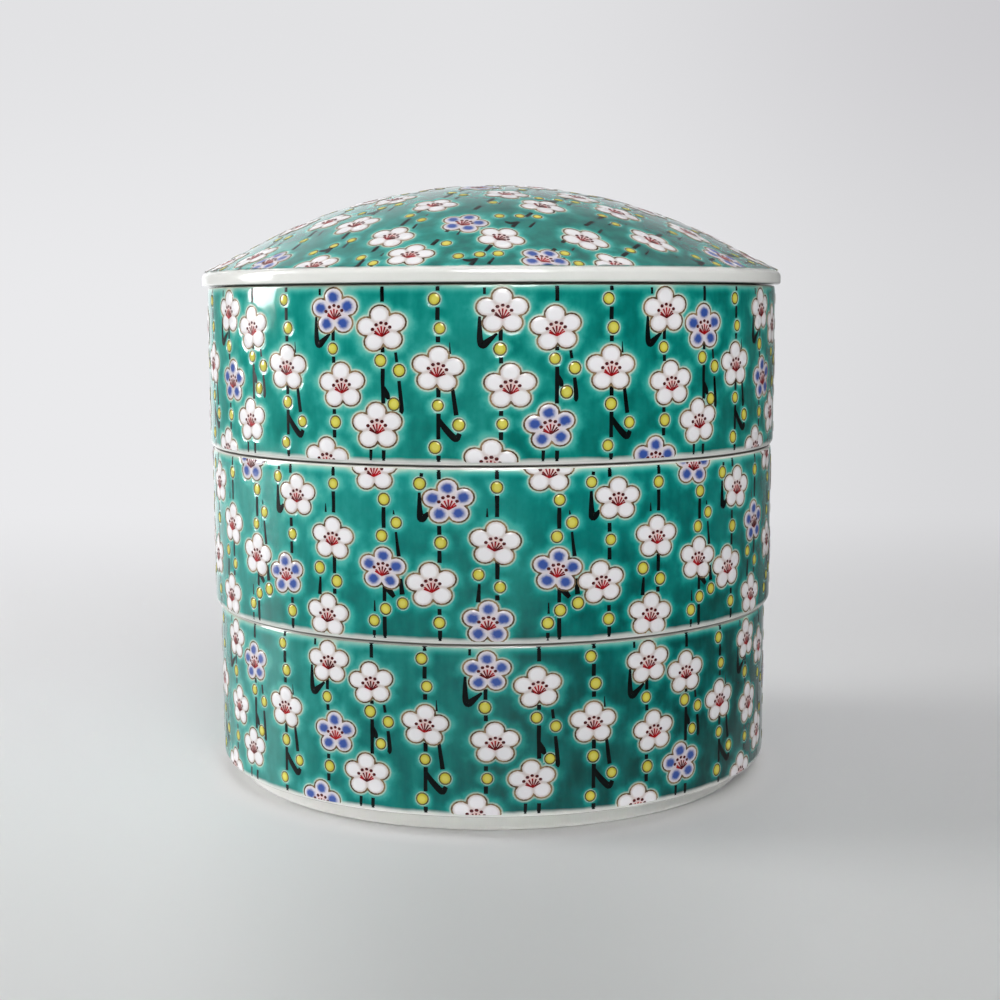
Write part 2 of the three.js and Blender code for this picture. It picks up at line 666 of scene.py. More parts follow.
@dataclass(frozen=True)
class BlossomShape:
    """A plum blossom of five round petals, in millimetres about its own centre."""

    petals: int = 5
    distance: float = 3.46
    radius: float = 2.15
    stretch: float = 1.165
    rise: float = 0.23
    bulge: float = 0.7
    floor: float = 0.12
    line_in: float = 0.10
    line_out: float = 0.4
    line_rise: float = 0.10
    spokes: int = 8
    rings: tuple[float, ...] = (0.0, 0.36, 0.58, 0.76, 0.9, 1.0)
    lift: float = 0.36

    def angles(self) -> list[float]:
        """Angles off a petal's middle line, from one of its sides to the other."""
        half = math.pi / self.petals
        return [half * (2.0 * k / self.spokes - 1.0) for k in range(self.spokes + 1)]

    def edge(self, angle: float, grow: float) -> float:
        """How far a petal's edge, grown by some width, is from the blossom's centre at an angle."""
        reach = (self.radius + grow) ** 2 - (self.distance * math.sin(angle)) ** 2
        return self.distance * math.cos(angle) + math.sqrt(max(reach, 0.0))

    def across_petal(self, x: float, y: float) -> float:
        """How far a point is across the petal that it lies on, from 0 at its middle to 1 at its edge.

        Args:
            x: The point's place across the blossom.
            y: The point's place up the blossom.

        Returns:
            The share.
        """
        step = TURN / self.petals
        angle = (math.atan2(x, y) + step / 2.0) % step - step / 2.0
        out = math.hypot(x, y)
        side = math.hypot(out * math.cos(angle) - self.distance, out * math.sin(angle))
        return min(side / self.radius, 1.0)

    def height(self, x: float, y: float) -> float:
        """The painted surface's height over the enamel at a point."""
        dome = self.rise * (1.0 - self.across_petal(x, y) ** 2) ** self.bulge
        return max(dome, self.floor)

    def petal(self) -> Thing:
        """Makes one petal, pointing up, as the wedge of the blossom that it fills.

        Returns:
            The petal.
        """
        points: list[Place] = []
        rim: list[float] = []
        heart: list[float] = []
        for ring in self.rings:
            for angle in self.angles():
                out = ring * self.edge(angle, 0.0)
                x = out * math.sin(angle)
                y = out * math.cos(angle)
                z = -SINK if ring == 1.0 else self.height(x, y)
                points.append((x * MM, y * MM, z * MM))
                rim.append(self.across_petal(x, y))
                heart.append(out)
        faces = grid(len(self.rings), self.spokes + 1)
        return mesh_object("petal", points, faces, {"rim": rim, "heart": heart})

    def outline(self) -> Thing:
        """Makes the line round one petal as a low ridge.

        Returns:
            The line.
        """
        points: list[Place] = []
        middle = (self.line_out - self.line_in) / 2.0
        rows = ((-self.line_in, -SINK), (middle, self.line_rise), (self.line_out, -SINK))
        for grow, z in rows:
            for angle in self.angles():
                out = self.edge(angle, grow)
                points.append((out * math.sin(angle) * MM, out * math.cos(angle) * MM, z * MM))
        faces = grid(len(rows), self.spokes + 1)
        return mesh_object("petal_line", points, faces, {"dark": [0.0] * len(points)})


def ribbon(stroke: Stroke, height: Sequence[float]) -> tuple[list[Place], list[Face]]:
    """Draws a brush stroke as a low ridge.

    Args:
        stroke: Place across, place up and width of each point along it.
        height: How high its ridge is at each point.

    Returns:
        Its points in millimetres and its faces.
    """
    points: list[Place] = []
    for i, (x, y, width) in enumerate(stroke):
        before = stroke[max(i - 1, 0)]
        after = stroke[min(i + 1, len(stroke) - 1)]
        along = Vector((after[0] - before[0], after[1] - before[1])).normalized()
        side = Vector((along.y, -along.x)) * width / 2.0
        points.append((x - side.x, y - side.y, height[i] - RIDGE))
        points.append((x, y, height[i]))
        points.append((x + side.x, y + side.y, height[i] - RIDGE))
    faces = [
        (3 * i + k, 3 * i + k + 1, 3 * i + k + 4, 3 * i + k + 3)
        for i in range(len(stroke) - 1)
        for k in range(2)
    ]
    return points, faces


@dataclass(frozen=True)
class StamenFan:
    """The fan of stamens in a blossom: where they spring from and where their tips are."""

    base: Point = (0.0, -1.87)
    tips: tuple[Point, ...] = ((-2.0, 0.2), (-1.05, 1.15), (0.08, 1.48), (1.2, 1.12), (1.95, 0.2))
    low_tips: tuple[Point, ...] = ((-2.2, -0.45), (2.3, -0.5))
    reach: float = 0.76
    width: float = 0.45
    root: float = 0.45
    growth: float = 0.65
    over: float = 0.11
    steps: int = 3
    dot: float = 0.52
    dot_top: float = 0.6
    dot_low: float = -0.03
    dot_high: float = 0.09
    dot_sides: int = 6

    def build(self, blossom: BlossomShape) -> Thing:
        """Makes the fan so that it lies on the blossom's own surface.

        Args:
            blossom: The blossom that it lies on.

        Returns:
            The fan.
        """
        points: list[Place] = []
        faces: list[Face] = []
        run = [i / self.steps * self.reach for i in range(self.steps + 1)]
        widths = [self.width * (self.root + self.growth * share) for share in run]
        for tip in self.tips + self.low_tips:
            spots = [Vector(self.base).lerp(Vector(tip), share) for share in run]
            stroke = tuple((p.x, p.y, width) for p, width in zip(spots, widths))
            made, spans = ribbon(stroke, [blossom.height(p.x, p.y) + self.over for p in spots])
            faces += [tuple(n + len(points) for n in span) for span in spans]
            points += made
        dark = [0.0] * len(points)
        ring = [TURN * k / self.dot_sides for k in range(self.dot_sides)]
        for x, y in self.tips:
            base = blossom.height(x, y)
            first = len(points)
            top = first + self.dot_sides
            for out, rise in ((self.dot, self.dot_low), (self.dot * self.dot_top, self.dot_high)):
                points += [(x + out * math.cos(a), y + out * math.sin(a), base + rise) for a in ring]
            for k in range(self.dot_sides):
                n = (k + 1) % self.dot_sides
                faces.append((first + k, first + n, top + n, top + k))
            faces.append(tuple(top + k for k in range(self.dot_sides)))
            dark += [1.0] * (2 * self.dot_sides)
        scaled = [tuple(c * MM for c in p) for p in points]
        return mesh_object("stamen_fan", scaled, faces, {"dark": dark})


@dataclass(frozen=True)
class BudShape:
    """A round bud, in millimetres about its own centre."""

    radius: float = 1.32
    rise: float = 0.15
    line_in: float = 0.10
    line_out: float = 0.34
    line_rise: float = 0.10
    sides: int = 14
    rings: tuple[float, ...] = (1.0, 0.8, 0.45)

    def circle(self, out: float, z: float) -> list[Place]:
        """A ring of points, in metres, with a radius and a height."""
        ring = [TURN * k / self.sides for k in range(self.sides)]
        return [(out * math.cos(a) * MM, out * math.sin(a) * MM, z * MM) for a in ring]

    def bands(self, rows: int) -> list[Face]:
        """Faces between rings of points that run inwards.

        Args:
            rows: How many rings there are.

        Returns:
            The faces.
        """
        starts = range(0, (rows - 1) * self.sides, self.sides)
        steps = [(k, (k + 1) % self.sides) for k in range(self.sides)]
        return [(r + k, r + n, r + self.sides + n, r + self.sides + k) for r in starts for k, n in steps]

    def dome(self) -> Thing:
        """Makes the bud's dome.

        Returns:
            The dome.
        """
        points: list[Place] = []
        rim: list[float] = []
        for share in self.rings:
            z = -SINK if share == 1.0 else self.rise * math.sqrt(1.0 - share**2)
            points += self.circle(self.radius * share, z)
            rim += [share] * self.sides
        faces = self.bands(len(self.rings))
        top = len(points)
        points.append((0.0, 0.0, self.rise * MM))
        rim.append(0.0)
        last = top - self.sides
        faces += [(last + k, last + (k + 1) % self.sides, top) for k in range(self.sides)]
        return mesh_object("bud", points, faces, {"rim": rim})

    def outline(self) -> Thing:
        """Makes the line round the bud as a low ridge.

        Returns:
            The line.
        """
        middle = (self.line_out - self.line_in) / 2.0
        rows = ((self.line_out, -SINK), (middle, self.line_rise), (-self.line_in, -SINK))
        points = [point for grow, z in rows for point in self.circle(self.radius + grow, z)]
        return mesh_object("bud_line", points, self.bands(len(rows)), {"dark": [0.0] * len(points)})


# The hanging plum branches


class Bloom(Enum):
    """The two kinds of blossom."""

    WHITE = "white"
    BLUE = "blue"


@dataclass(frozen=True)
class Strand:
    """A hanging branch: places across it and down from its top, and its side twigs.

    The stem's sway and unevenness each hold a size, a pace along it and a shift with its place.
    """

    length: float
    blossoms: tuple[Point, ...]
    buds: tuple[Point, ...]
    twigs: tuple[Stroke, ...] = ()
    stem_width: float = 1.26
    stem_step: float = 0.5
    sway: Place = (0.05, 0.3, 5.0)
    uneven: Place = (0.06, 0.42, 3.0)
    twig_share: float = 1.4
    ridge: float = 0.03
    near: float = 1.2
    near_gap: Point = (6.2, 4.7)
    far: float = 3.0
    far_gap: Point = (5.2, 6.2)
    bud_gap: float = 1.95
    shortest: float = 0.5
    overrun: float = 1.3

    def stem_runs(self) -> list[Point]:
        """Where the main stem shows between the motifs.

        Returns:
            The start and end of each run, down from the top.
        """
        gaps = [(d - self.bud_gap, d + self.bud_gap) for x, d in self.buds if abs(x) < self.near]
        for x, drop in self.blossoms:
            above, below = self.near_gap if abs(x) < self.near else self.far_gap
            if abs(x) < self.far:
                gaps.append((drop - above, drop + below))
        runs: list[Point] = []
        start = -self.overrun
        for low, high in sorted(gaps):
            runs.append((start, low))
            start = max(start, high)
        runs.append((start, self.length + self.overrun))
        return [(a, b) for a, b in runs if b - a > self.shortest]

    def strokes(self) -> list[Stroke]:
        """The stem's runs and the twigs as brush strokes, with height upwards.

        Returns:
            The strokes.
        """
        drawn: list[Stroke] = []
        sway, sway_pace, sway_shift = self.sway
        uneven, pace, shift = self.uneven
        for count, (a, b) in enumerate(self.stem_runs()):
            steps = max(int((b - a) / self.stem_step), 1)
            run: list[Place] = []
            for k in range(steps + 1):
                aside = sway * math.sin(sway_pace * k + sway_shift * a + count)
                width = self.stem_width * (1.0 + uneven * math.sin(pace * k + shift * a))
                run.append((aside, -(a + (b - a) * k / steps), width))
            drawn.append(tuple(run))
        share = self.twig_share
        return drawn + [smooth_stroke(tuple((x, -d, w * share) for x, d, w in twig)) for twig in self.twigs]

    def branch(self, name: str) -> Thing:
        """Makes the strokes as one mesh.

        Args:
            name: The mesh's name.

        Returns:
            The branch.
        """
        points: list[Place] = []
        faces: list[Face] = []
        for stroke in self.strokes():
            made, spans = ribbon(stroke, [self.ridge] * len(stroke))
            faces += [tuple(n + len(points) for n in span) for span in spans]
            points += [tuple(c * MM for c in p) for p in made]
        return mesh_object(name, points, faces, {"dark": [0.0] * len(points)})


def smooth_stroke(stroke: Stroke) -> Stroke:
    """Rounds the bends of a stroke and divides it, so that it can follow a curved wall.

    Args:
        stroke: The stroke's own points.

    Returns:
        More points along it, on a smooth curve.
    """
    ends = [np.array(p) for p in (stroke[0], *stroke, stroke[-1])]
    made: list[Place] = []
    for a, b, c, d in zip(ends, ends[1:], ends[2:], ends[3:]):
        for step in range(STROKE_STEPS):
            t = step / STROKE_STEPS
            point = b + 0.5 * t * (c - a + t * (2 * a - 5 * b + 4 * c - d + t * (3 * (b - c) + d - a)))
            made.append((float(point[0]), float(point[1]), float(point[2])))
    return (*made, stroke[-1])


WALL_LENGTH = 41.2

LONG_STRAND = Strand(
    WALL_LENGTH,
    blossoms=((-0.2, 9.0), (-1.7, 32.7)),
    buds=((-0.6, 17.0), (4.3, 19.4), (2.8, 27.6)),
    twigs=(
        ((3.4, 15.0, 0.65), (3.7, 17.4, 0.7)),
        ((4.2, 21.9, 0.75), (4.6, 26.0, 0.9), (4.8, 29.0, 1.0), (4.5, 29.7, 0.85)),
        ((0.2, 23.4, 0.7), (0.9, 25.2, 1.4), (1.6, 26.4, 0.6)),
        ((-3.4, 38.8, 0.75), (-3.5, 41.5, 0.7)),
    ),
)
SHORT_STRAND = replace(
    LONG_STRAND,
    buds=((-0.5, 16.6), (4.5, 18.9), (2.4, 24.7)),
    twigs=(
        ((3.4, 14.6, 0.65), (3.7, 16.6, 0.7)),
        ((4.4, 21.2, 0.75), (4.7, 24.0, 0.95), (4.8, 26.2, 1.0), (4.4, 26.8, 0.85)),
        ((0.2, 20.6, 0.7), (0.8, 22.2, 1.3), (1.3, 23.4, 0.6)),
        ((-3.4, 38.8, 0.75), (-3.5, 41.5, 0.7)),
    ),
)
OUTER_STRANDS = (
    LONG_STRAND,
    Strand(
        WALL_LENGTH,
        blossoms=((-0.1, 18.8),),
        buds=((-0.8, 2.2), (0.5, 9.2), (-0.1, 27.8), (5.0, 32.5), (-0.9, 38.0)),
        twigs=(
            ((2.9, 12.6, 0.15), (3.0, 15.4, 0.5)),
            ((3.4, 22.8, 0.7), (3.9, 26.6, 0.9), (4.4, 30.2, 1.0)),
            ((0.2, 31.2, 0.8), (1.5, 33.2, 1.25), (3.3, 35.2, 1.4), (4.4, 35.9, 1.35), (5.2, 34.6, 0.95)),
        ),
    ),
    Strand(
        WALL_LENGTH,
        blossoms=((0.4, 4.8), (2.3, 22.9), (-2.6, 41.4)),
        buds=((-0.2, 14.2), (0.3, 32.3)),
        twigs=(
            ((-3.9, -0.5, 0.6), (-3.9, 1.1, 0.6)),
            (
                (-5.1, 6.4, 0.55),
                (-5.1, 9.0, 0.95),
                (-5.0, 12.2, 1.35),
                (-4.3, 13.2, 1.65),
                (-2.9, 12.2, 1.25),
                (-0.9, 10.5, 0.5),
            ),
        ),
    ),
)

MIDDLE_STRANDS = (
    Strand(
        WALL_LENGTH,
        twig_share=1.75,
        blossoms=((-2.5, -1.4), (-0.5, 23.2)),
        buds=((0.1, 6.2), (3.3, 11.9), (-0.6, 15.3), (4.8, 32.0), (0.25, 33.6), (-2.9, 36.7)),
        twigs=(
            ((2.6, 8.8, 0.15), (2.7, 9.9, 0.4)),
            ((3.2, 14.2, 0.45), (3.5, 17.0, 0.55), (3.9, 20.3, 0.75)),
            ((4.3, 25.8, 0.6), (4.7, 29.8, 0.95)),
            ((0.4, 27.6, 0.5), (1.3, 28.9, 1.1), (2.6, 30.5, 0.7)),
            ((-2.7, 31.6, 0.2), (-2.7, 34.4, 0.45)),
            ((-2.9, 39.1, 0.6), (-2.9, 41.5, 0.6)),
        ),
    ),
    Strand(
        WALL_LENGTH,
        twig_share=1.75,
        blossoms=((2.3, 6.2), (-2.1, 26.8)),
        buds=((-4.8, 2.1), (0.4, 16.6), (-0.1, 36.5)),
        twigs=(
            ((-4.3, -0.5, 0.6), (-4.4, 0.4, 0.6)),
            ((-4.9, 4.3, 0.5), (-4.8, 9.2, 1.05), (-4.4, 10.6, 1.5), (-3.4, 10.1, 1.0), (-2.7, 9.1, 0.4)),
        ),
    ),
    Strand(
        WALL_LENGTH,
        twig_share=1.75,
        blossoms=((-0.5, 16.4), (-2.3, 36.0)),
        buds=((0.0, 2.9), (-4.6, 24.4), (0.7, 27.5)),
        twigs=(
            ((-2.4, 8.0, 0.15), (-2.4, 10.2, 0.45)),
            ((-4.4, 26.7, 0.45), (-4.7, 31.3, 0.85)),
        ),
    ),
)

DOME_PITCH = 22.0
DOME_STRANDS = (
    Strand(
        DOME_PITCH,
        blossoms=((0.4, 0.0), (0.4, DOME_PITCH)),
        buds=((-1.1, 9.4), (3.8, 11.8)),
        twigs=(
            ((3.5, 7.8, 0.3), (3.6, 9.5, 0.5)),
            ((3.9, 14.2, 0.5), (4.2, 17.0, 0.7)),
        ),
    ),
    Strand(
        DOME_PITCH,
        blossoms=((-0.3, 0.0), (-0.3, DOME_PITCH)),
        buds=((0.0, 10.6),),
        twigs=(((3.0, 5.8, 0.2), (3.4, 9.0, 0.6)),),
    ),
    Strand(
        DOME_PITCH,
        blossoms=((-0.6, 0.0), (-0.6, DOME_PITCH)),
        buds=((-0.4, 10.2), (3.4, 7.8), (-4.8, 13.0)),
        twigs=(
            ((3.5, 10.1, 0.5), (3.7, 13.5, 0.7)),
            ((-0.4, 12.4, 0.5), (-1.2, 14.0, 1.1), (-3.0, 14.0, 0.6)),
        ),
    ),
)


# How a flat drawing wraps onto the porcelain


class SurfaceWrap:
    """A surface that flat drawings are laid on."""

    def sizes(self) -> dict[str, float]:
        """The tree's named sizes, in metres and radians."""
        raise NotImplementedError

    def place(self, sketch: NodeSketch, sizes: dict[str, Socket]) -> Socket:
        """Draws the nodes that carry a flat point onto the surface."""
        raise NotImplementedError

    def trim(self, piece: Thing) -> None:
        """Cuts off what reaches past the enamel's edges."""
        raise NotImplementedError


def rolled(over: float) -> float:
    """How deep an enamel's face has rolled in at a share of its roll."""
    return COAT * (1.0 - math.sqrt(max(1.0 - over**2, 0.0)))


def bends() -> list[float]:
    """Shares of a roll at which an enamel's edge has its points, from none of it to nearly all."""
    return [math.sin(math.radians(BEND_ANGLE * k)) for k in range(BEND_STEPS + 1)]


@dataclass(frozen=True)
class WallWrap(SurfaceWrap):
    """A round wall whose edges turn in, with height upwards and the drawing's middle at the front."""

    radius: float
    bottom: float
    top: float
    low: float
    high: float
    rounding: float = 0.6
    roll: float = 1.1
    top_roll: float = 2.2
    low_trim: float = 0.3

    def turn_in(self, height: float) -> float:
        """How much smaller the radius of the enamel's face is at a height."""
        above = (height - self.high + self.top_roll) / self.top_roll
        return rolled(max(above, (self.low + self.roll - height) / self.roll, 0.0))

    def sizes(self) -> dict[str, float]:
        """The wall's sizes for the tree."""
        return {
            "Radius": self.radius * MM,
            "Upper Turn": (self.high - self.top_roll) * MM,
            "Lower Turn": (self.low + self.roll) * MM,
            "Upper Roll": self.top_roll * MM,
            "Lower Roll": self.roll * MM,
            "Depth": COAT * MM,
        }

    def place(self, sketch: NodeSketch, sizes: dict[str, Socket]) -> Socket:
        """Bends the drawing round the axis.

        Args:
            sketch: Where to draw.
            sizes: The sizes' sockets, by name.

        Returns:
            The wrapped position.
        """
        here = sketch.add("GeometryNodeInputPosition").outputs[0]
        flat = sketch.add("ShaderNodeSeparateXYZ", {"Vector": here}).outputs
        above = sketch.math("SUBTRACT", flat["Y"], sizes["Upper Turn"])
        above = sketch.math("DIVIDE", above, sizes["Upper Roll"])
        below = sketch.math("SUBTRACT", sizes["Lower Turn"], flat["Y"])
        below = sketch.math("DIVIDE", below, sizes["Lower Roll"])
        over = sketch.math("MAXIMUM", sketch.math("MAXIMUM", above, below), 0.0)
        share = sketch.math("MINIMUM", over, 1.0)
        left = sketch.math("SQRT", sketch.math("SUBTRACT", 1.0, sketch.math("MULTIPLY", share, share)))
        shrink = sketch.math("MULTIPLY", sizes["Depth"], sketch.math("SUBTRACT", 1.0, left))
        out = sketch.math("SUBTRACT", sketch.math("ADD", sizes["Radius"], flat["Z"]), shrink)
        angle = sketch.math("DIVIDE", flat["X"], sizes["Radius"])
        x = sketch.math("MULTIPLY", out, sketch.math("SINE", angle))
        y = sketch.math("MULTIPLY", out, sketch.math("COSINE", angle))
        y = sketch.math("MULTIPLY", y, -1.0)
        return sketch.add("ShaderNodeCombineXYZ", {"X": x, "Y": y, "Z": flat["Y"]}).outputs[0]

    def trim(self, piece: Thing) -> None:
        """Cuts the drawing off at the enamel's lower and upper edge."""
        ends = ((self.low + self.low_trim, -1.0), (self.high, 1.0))
        cut_off(piece, [((0.0, 0.0, z * MM), (0.0, 0.0, way)) for z, way in ends])


@dataclass(frozen=True)
class DomeWrap(SurfaceWrap):
    """A dome that runs out into a straight brim, drawn on in plan."""

    crown: float
    centre: float
    start: float
    slope: float
    edge: float
    roll: float = 1.1
    trim_sides: int = 90

    def turn_in(self, radius: float) -> float:
        """How much lower the enamel's face is at a radius, where its edge has rolled in."""
        return rolled(max(radius - (self.edge - self.roll), 0.0) / self.roll)

    def height(self, radius: float) -> float:
        """The dome's height at a radius.

        Args:
            radius: The radius.

        Returns:
            The height.
        """
        round_part = min(radius, self.start)
        fall = (radius - round_part) * math.tan(self.slope)
        return self.centre + math.sqrt(self.crown**2 - round_part**2) - fall

    def under(self, radius: float, depth: float) -> Point:
        """Radius and height of the point that lies a depth below the dome at a radius."""
        lean = min(radius, self.start) / self.crown
        return radius - depth * lean, self.height(radius) - depth * math.sqrt(1.0 - lean**2)

    def sizes(self) -> dict[str, float]:
        """The dome's sizes for the tree."""
        return {
            "Crown": self.crown * MM,
            "Centre": self.centre * MM,
            "Brim Start": self.start * MM,
            "Brim Fall": math.tan(self.slope),
        }

    def place(self, sketch: NodeSketch, sizes: dict[str, Socket]) -> Socket:
        """Drops the drawing onto the dome, with its relief along the surface's own normal.

        Args:
            sketch: Where to draw.
            sizes: The sizes' sockets, by name.

        Returns:
            The wrapped position.
        """
        here = sketch.add("GeometryNodeInputPosition").outputs[0]
        flat = sketch.add("ShaderNodeSeparateXYZ", {"Vector": here}).outputs
        across = sketch.math("MULTIPLY", flat["X"], flat["X"])
        away = sketch.math("MULTIPLY", flat["Y"], flat["Y"])
        out = sketch.math("MAXIMUM", sketch.math("SQRT", sketch.math("ADD", across, away)), TINY)
        curved = sketch.math("MINIMUM", out, sizes["Brim Start"])
        fall = sketch.math("MULTIPLY", sketch.math("SUBTRACT", out, curved), sizes["Brim Fall"])
        square = sketch.math("MULTIPLY", sizes["Crown"], sizes["Crown"])
        rise = sketch.math("SQRT", sketch.math("SUBTRACT", square, sketch.math("MULTIPLY", curved, curved)))
        top = sketch.math("SUBTRACT", sketch.math("ADD", sizes["Centre"], rise), fall)
        lean = sketch.math("DIVIDE", curved, sizes["Crown"])
        stand = sketch.math("DIVIDE", rise, sizes["Crown"])
        push = sketch.math("DIVIDE", sketch.math("MULTIPLY", flat["Z"], lean), out)
        grow = sketch.math("ADD", push, 1.0)
        x = sketch.math("MULTIPLY", flat["X"], grow)
        y = sketch.math("MULTIPLY", flat["Y"], grow)
        z = sketch.math("ADD", top, sketch.math("MULTIPLY", flat["Z"], stand))
        return sketch.add("ShaderNodeCombineXYZ", {"X": x, "Y": y, "Z": z}).outputs[0]

    def trim(self, piece: Thing) -> None:
        """Cuts the drawing off round the enamel's edge.

        Args:
            piece: The piece to cut.
        """
        spokes = [TURN * k / self.trim_sides for k in range(self.trim_sides)]
        ways = [(math.sin(a), -math.cos(a), 0.0) for a in spokes]
        cut_off(piece, [(tuple(self.edge * MM * c for c in way), way) for way in ways])


def cut_off(piece: Thing, cuts: Sequence[tuple[Sequence[float], Sequence[float]]]) -> None:
    """Removes what lies on the far side of each of some planes.

    Args:
        piece: The piece to cut.
        cuts: A point and the outward direction of each plane.
    """
    shape = bmesh.new()
    shape.from_mesh(piece.data)
    for point, way in cuts:
        spot = Vector(point)
        outward = Vector(way)
        faces = [f for f in shape.faces if any((v.co - spot).dot(outward) > 0.0 for v in f.verts)]
        touched = dict.fromkeys(item for face in faces for item in (*face.verts, *face.edges, face))
        plane = {"plane_co": spot, "plane_no": outward, "dist": CUT_REACH, "clear_outer": True}
        bmesh.ops.bisect_plane(shape, geom=list(touched), **plane)
    shape.to_mesh(piece.data)
    shape.free()


# Trees that lay the motifs and dress the enamel


class Tree:
    """A Geometry Nodes tree with named inputs, which leaves a plain mesh behind."""

    def __init__(self, name: str, kinds: dict[str, str]) -> None:
        """Makes the tree with its inputs.

        Args:
            name: The tree's name.
            kinds: The socket type of each input after the geometry, by its label.
        """
        self.tree = bpy.data.node_groups.new(name, "GeometryNodeTree")
        face = self.tree.interface
        face.new_socket("Geometry", in_out="OUTPUT", socket_type="NodeSocketGeometry")
        kinds = {"Geometry": "NodeSocketGeometry", **kinds}
        self.keys = {
            label: face.new_socket(label, in_out="INPUT", socket_type=kind).identifier
            for label, kind in kinds.items()
        }

    def run(self, piece: Thing, given: dict[str, Any]) -> None:
        """Runs the tree on a piece and makes the result the piece's plain mesh.

        Args:
            piece: The piece, which keeps its name.
            given: The value of each input, by its label.
        """
        modifier = piece.modifiers.new("tree", "NODES")
        modifier.node_group = self.tree
        for label, value in given.items():
            modifier[self.keys[label]] = value
        graph = bpy.context.evaluated_depsgraph_get()
        live = piece.evaluated_get(graph)
        mesh = bpy.data.meshes.new_from_object(live, preserve_all_data_layers=True, depsgraph=graph)
        piece.modifiers.clear()
        old = piece.data
        piece.data = mesh
        mesh.name = piece.name
        bpy.data.meshes.remove(old)


class PaintTree(Tree):
    """A tree that sets a motif on marked points of a drawing and wraps the drawing onto a surface."""

    def __init__(self, name: str, wrap: SurfaceWrap) -> None:
        """Builds the tree for one kind of surface.

        Args:
            name: The tree's name.
            wrap: The kind of surface, whose sizes become the tree's inputs.
        """
        kinds = {"Motif": "NodeSocketObject", "Copies": "NodeSocketInt", "Stretch": "NodeSocketFloat"}
        kinds["Finish"] = "NodeSocketMaterial"
        super().__init__(name, kinds | {size: "NodeSocketFloat" for size in wrap.sizes()})
        self.draw(wrap)

    def draw(self, wrap: SurfaceWrap) -> None:
        """Draws the tree's nodes.

        Args:
            wrap: The kind of surface.
        """
        sketch = NodeSketch(self.tree)
        given = sketch.add("NodeGroupInput").outputs
        motif = sketch.add("GeometryNodeObjectInfo", {"Object": given["Motif"]}).outputs["Geometry"]
        # Copies of the motif round its own centre, as the petals of a blossom.
        hub = sketch.add("GeometryNodePoints", {"Count": given["Copies"]}).outputs[0]
        count = sketch.add("GeometryNodeInputIndex").outputs[0]
        share = sketch.math("DIVIDE", count, given["Copies"])
        spin = sketch.add("ShaderNodeCombineXYZ", {"Z": sketch.math("MULTIPLY", share, TURN)}).outputs[0]
        feeds = {"Points": hub, "Instance": motif, "Rotation": spin}
        ring = sketch.add("GeometryNodeInstanceOnPoints", feeds).outputs[0]
        whole = sketch.add("GeometryNodeRealizeInstances", {"Geometry": ring}).outputs[0]
        feeds = {"Geometry": whole, "Distance": WELD_REACH}
        welded = sketch.add("GeometryNodeMergeByDistance", feeds).outputs[0]
        wide = sketch.add("ShaderNodeCombineXYZ", {"X": given["Stretch"], "Y": 1.0, "Z": 1.0}).outputs[0]
        shaped = sketch.add("GeometryNodeTransform", {"Geometry": welded, "Scale": wide}).outputs[0]
        # One motif on each marked point, turned and sized as the point says.
        tilt, size = (
            sketch.add("GeometryNodeInputNamedAttribute", {"Name": name}, data_type="FLOAT").outputs[0]
            for name in ("tilt", "size")
        )
        lean = sketch.add("ShaderNodeCombineXYZ", {"Z": tilt}).outputs[0]
        feeds = {"Points": given["Geometry"], "Instance": shaped, "Rotation": lean, "Scale": size}
        spread = sketch.add("GeometryNodeInstanceOnPoints", feeds).outputs[0]
        plain = sketch.add("GeometryNodeRealizeInstances", {"Geometry": spread}).outputs[0]
        sizes = {label: given[label] for label in wrap.sizes()}
        feeds = {"Geometry": plain, "Position": wrap.place(sketch, sizes)}
        laid = sketch.add("GeometryNodeSetPosition", feeds).outputs[0]
        smooth = sketch.add("GeometryNodeSetShadeSmooth", {"Geometry": laid}).outputs[0]
        last = sketch.add("GeometryNodeSetMaterial", {"Geometry": smooth, "Material": given["Finish"]})
        sketch.add("NodeGroupOutput", {"Geometry": last.outputs[0]})

    def lay(
        self,
        name: str,
        motif: Thing,
        spots: Sequence[Spot],
        finish: Glaze,
        wrap: SurfaceWrap,
        copies: int = 1,
        stretch: float = 1.0,
    ) -> Thing:
        """Lays a motif on a surface and makes the result a plain mesh.

        Args:
            name: The new piece's name.
            motif: The motif's mesh object.
            spots: Place across, place up, tilt and size of each motif on the flat drawing.
            finish: The motif's finish.
            wrap: The surface.
            copies: How many times the motif is set round its own centre.
            stretch: How much wider than drawn the motif is.

        Returns:
            The new piece.
        """
        points = [(x * MM, y * MM, 0.0) for x, y, _, _ in spots]
        values = {"tilt": [s[2] for s in spots], "size": [s[3] for s in spots]}
        piece = mesh_object(name, points, [], values)
        given = {"Motif": motif, "Copies": copies, "Stretch": stretch, "Finish": finish.material()}
        self.run(piece, given | wrap.sizes())
        wrap.trim(piece)
        return piece


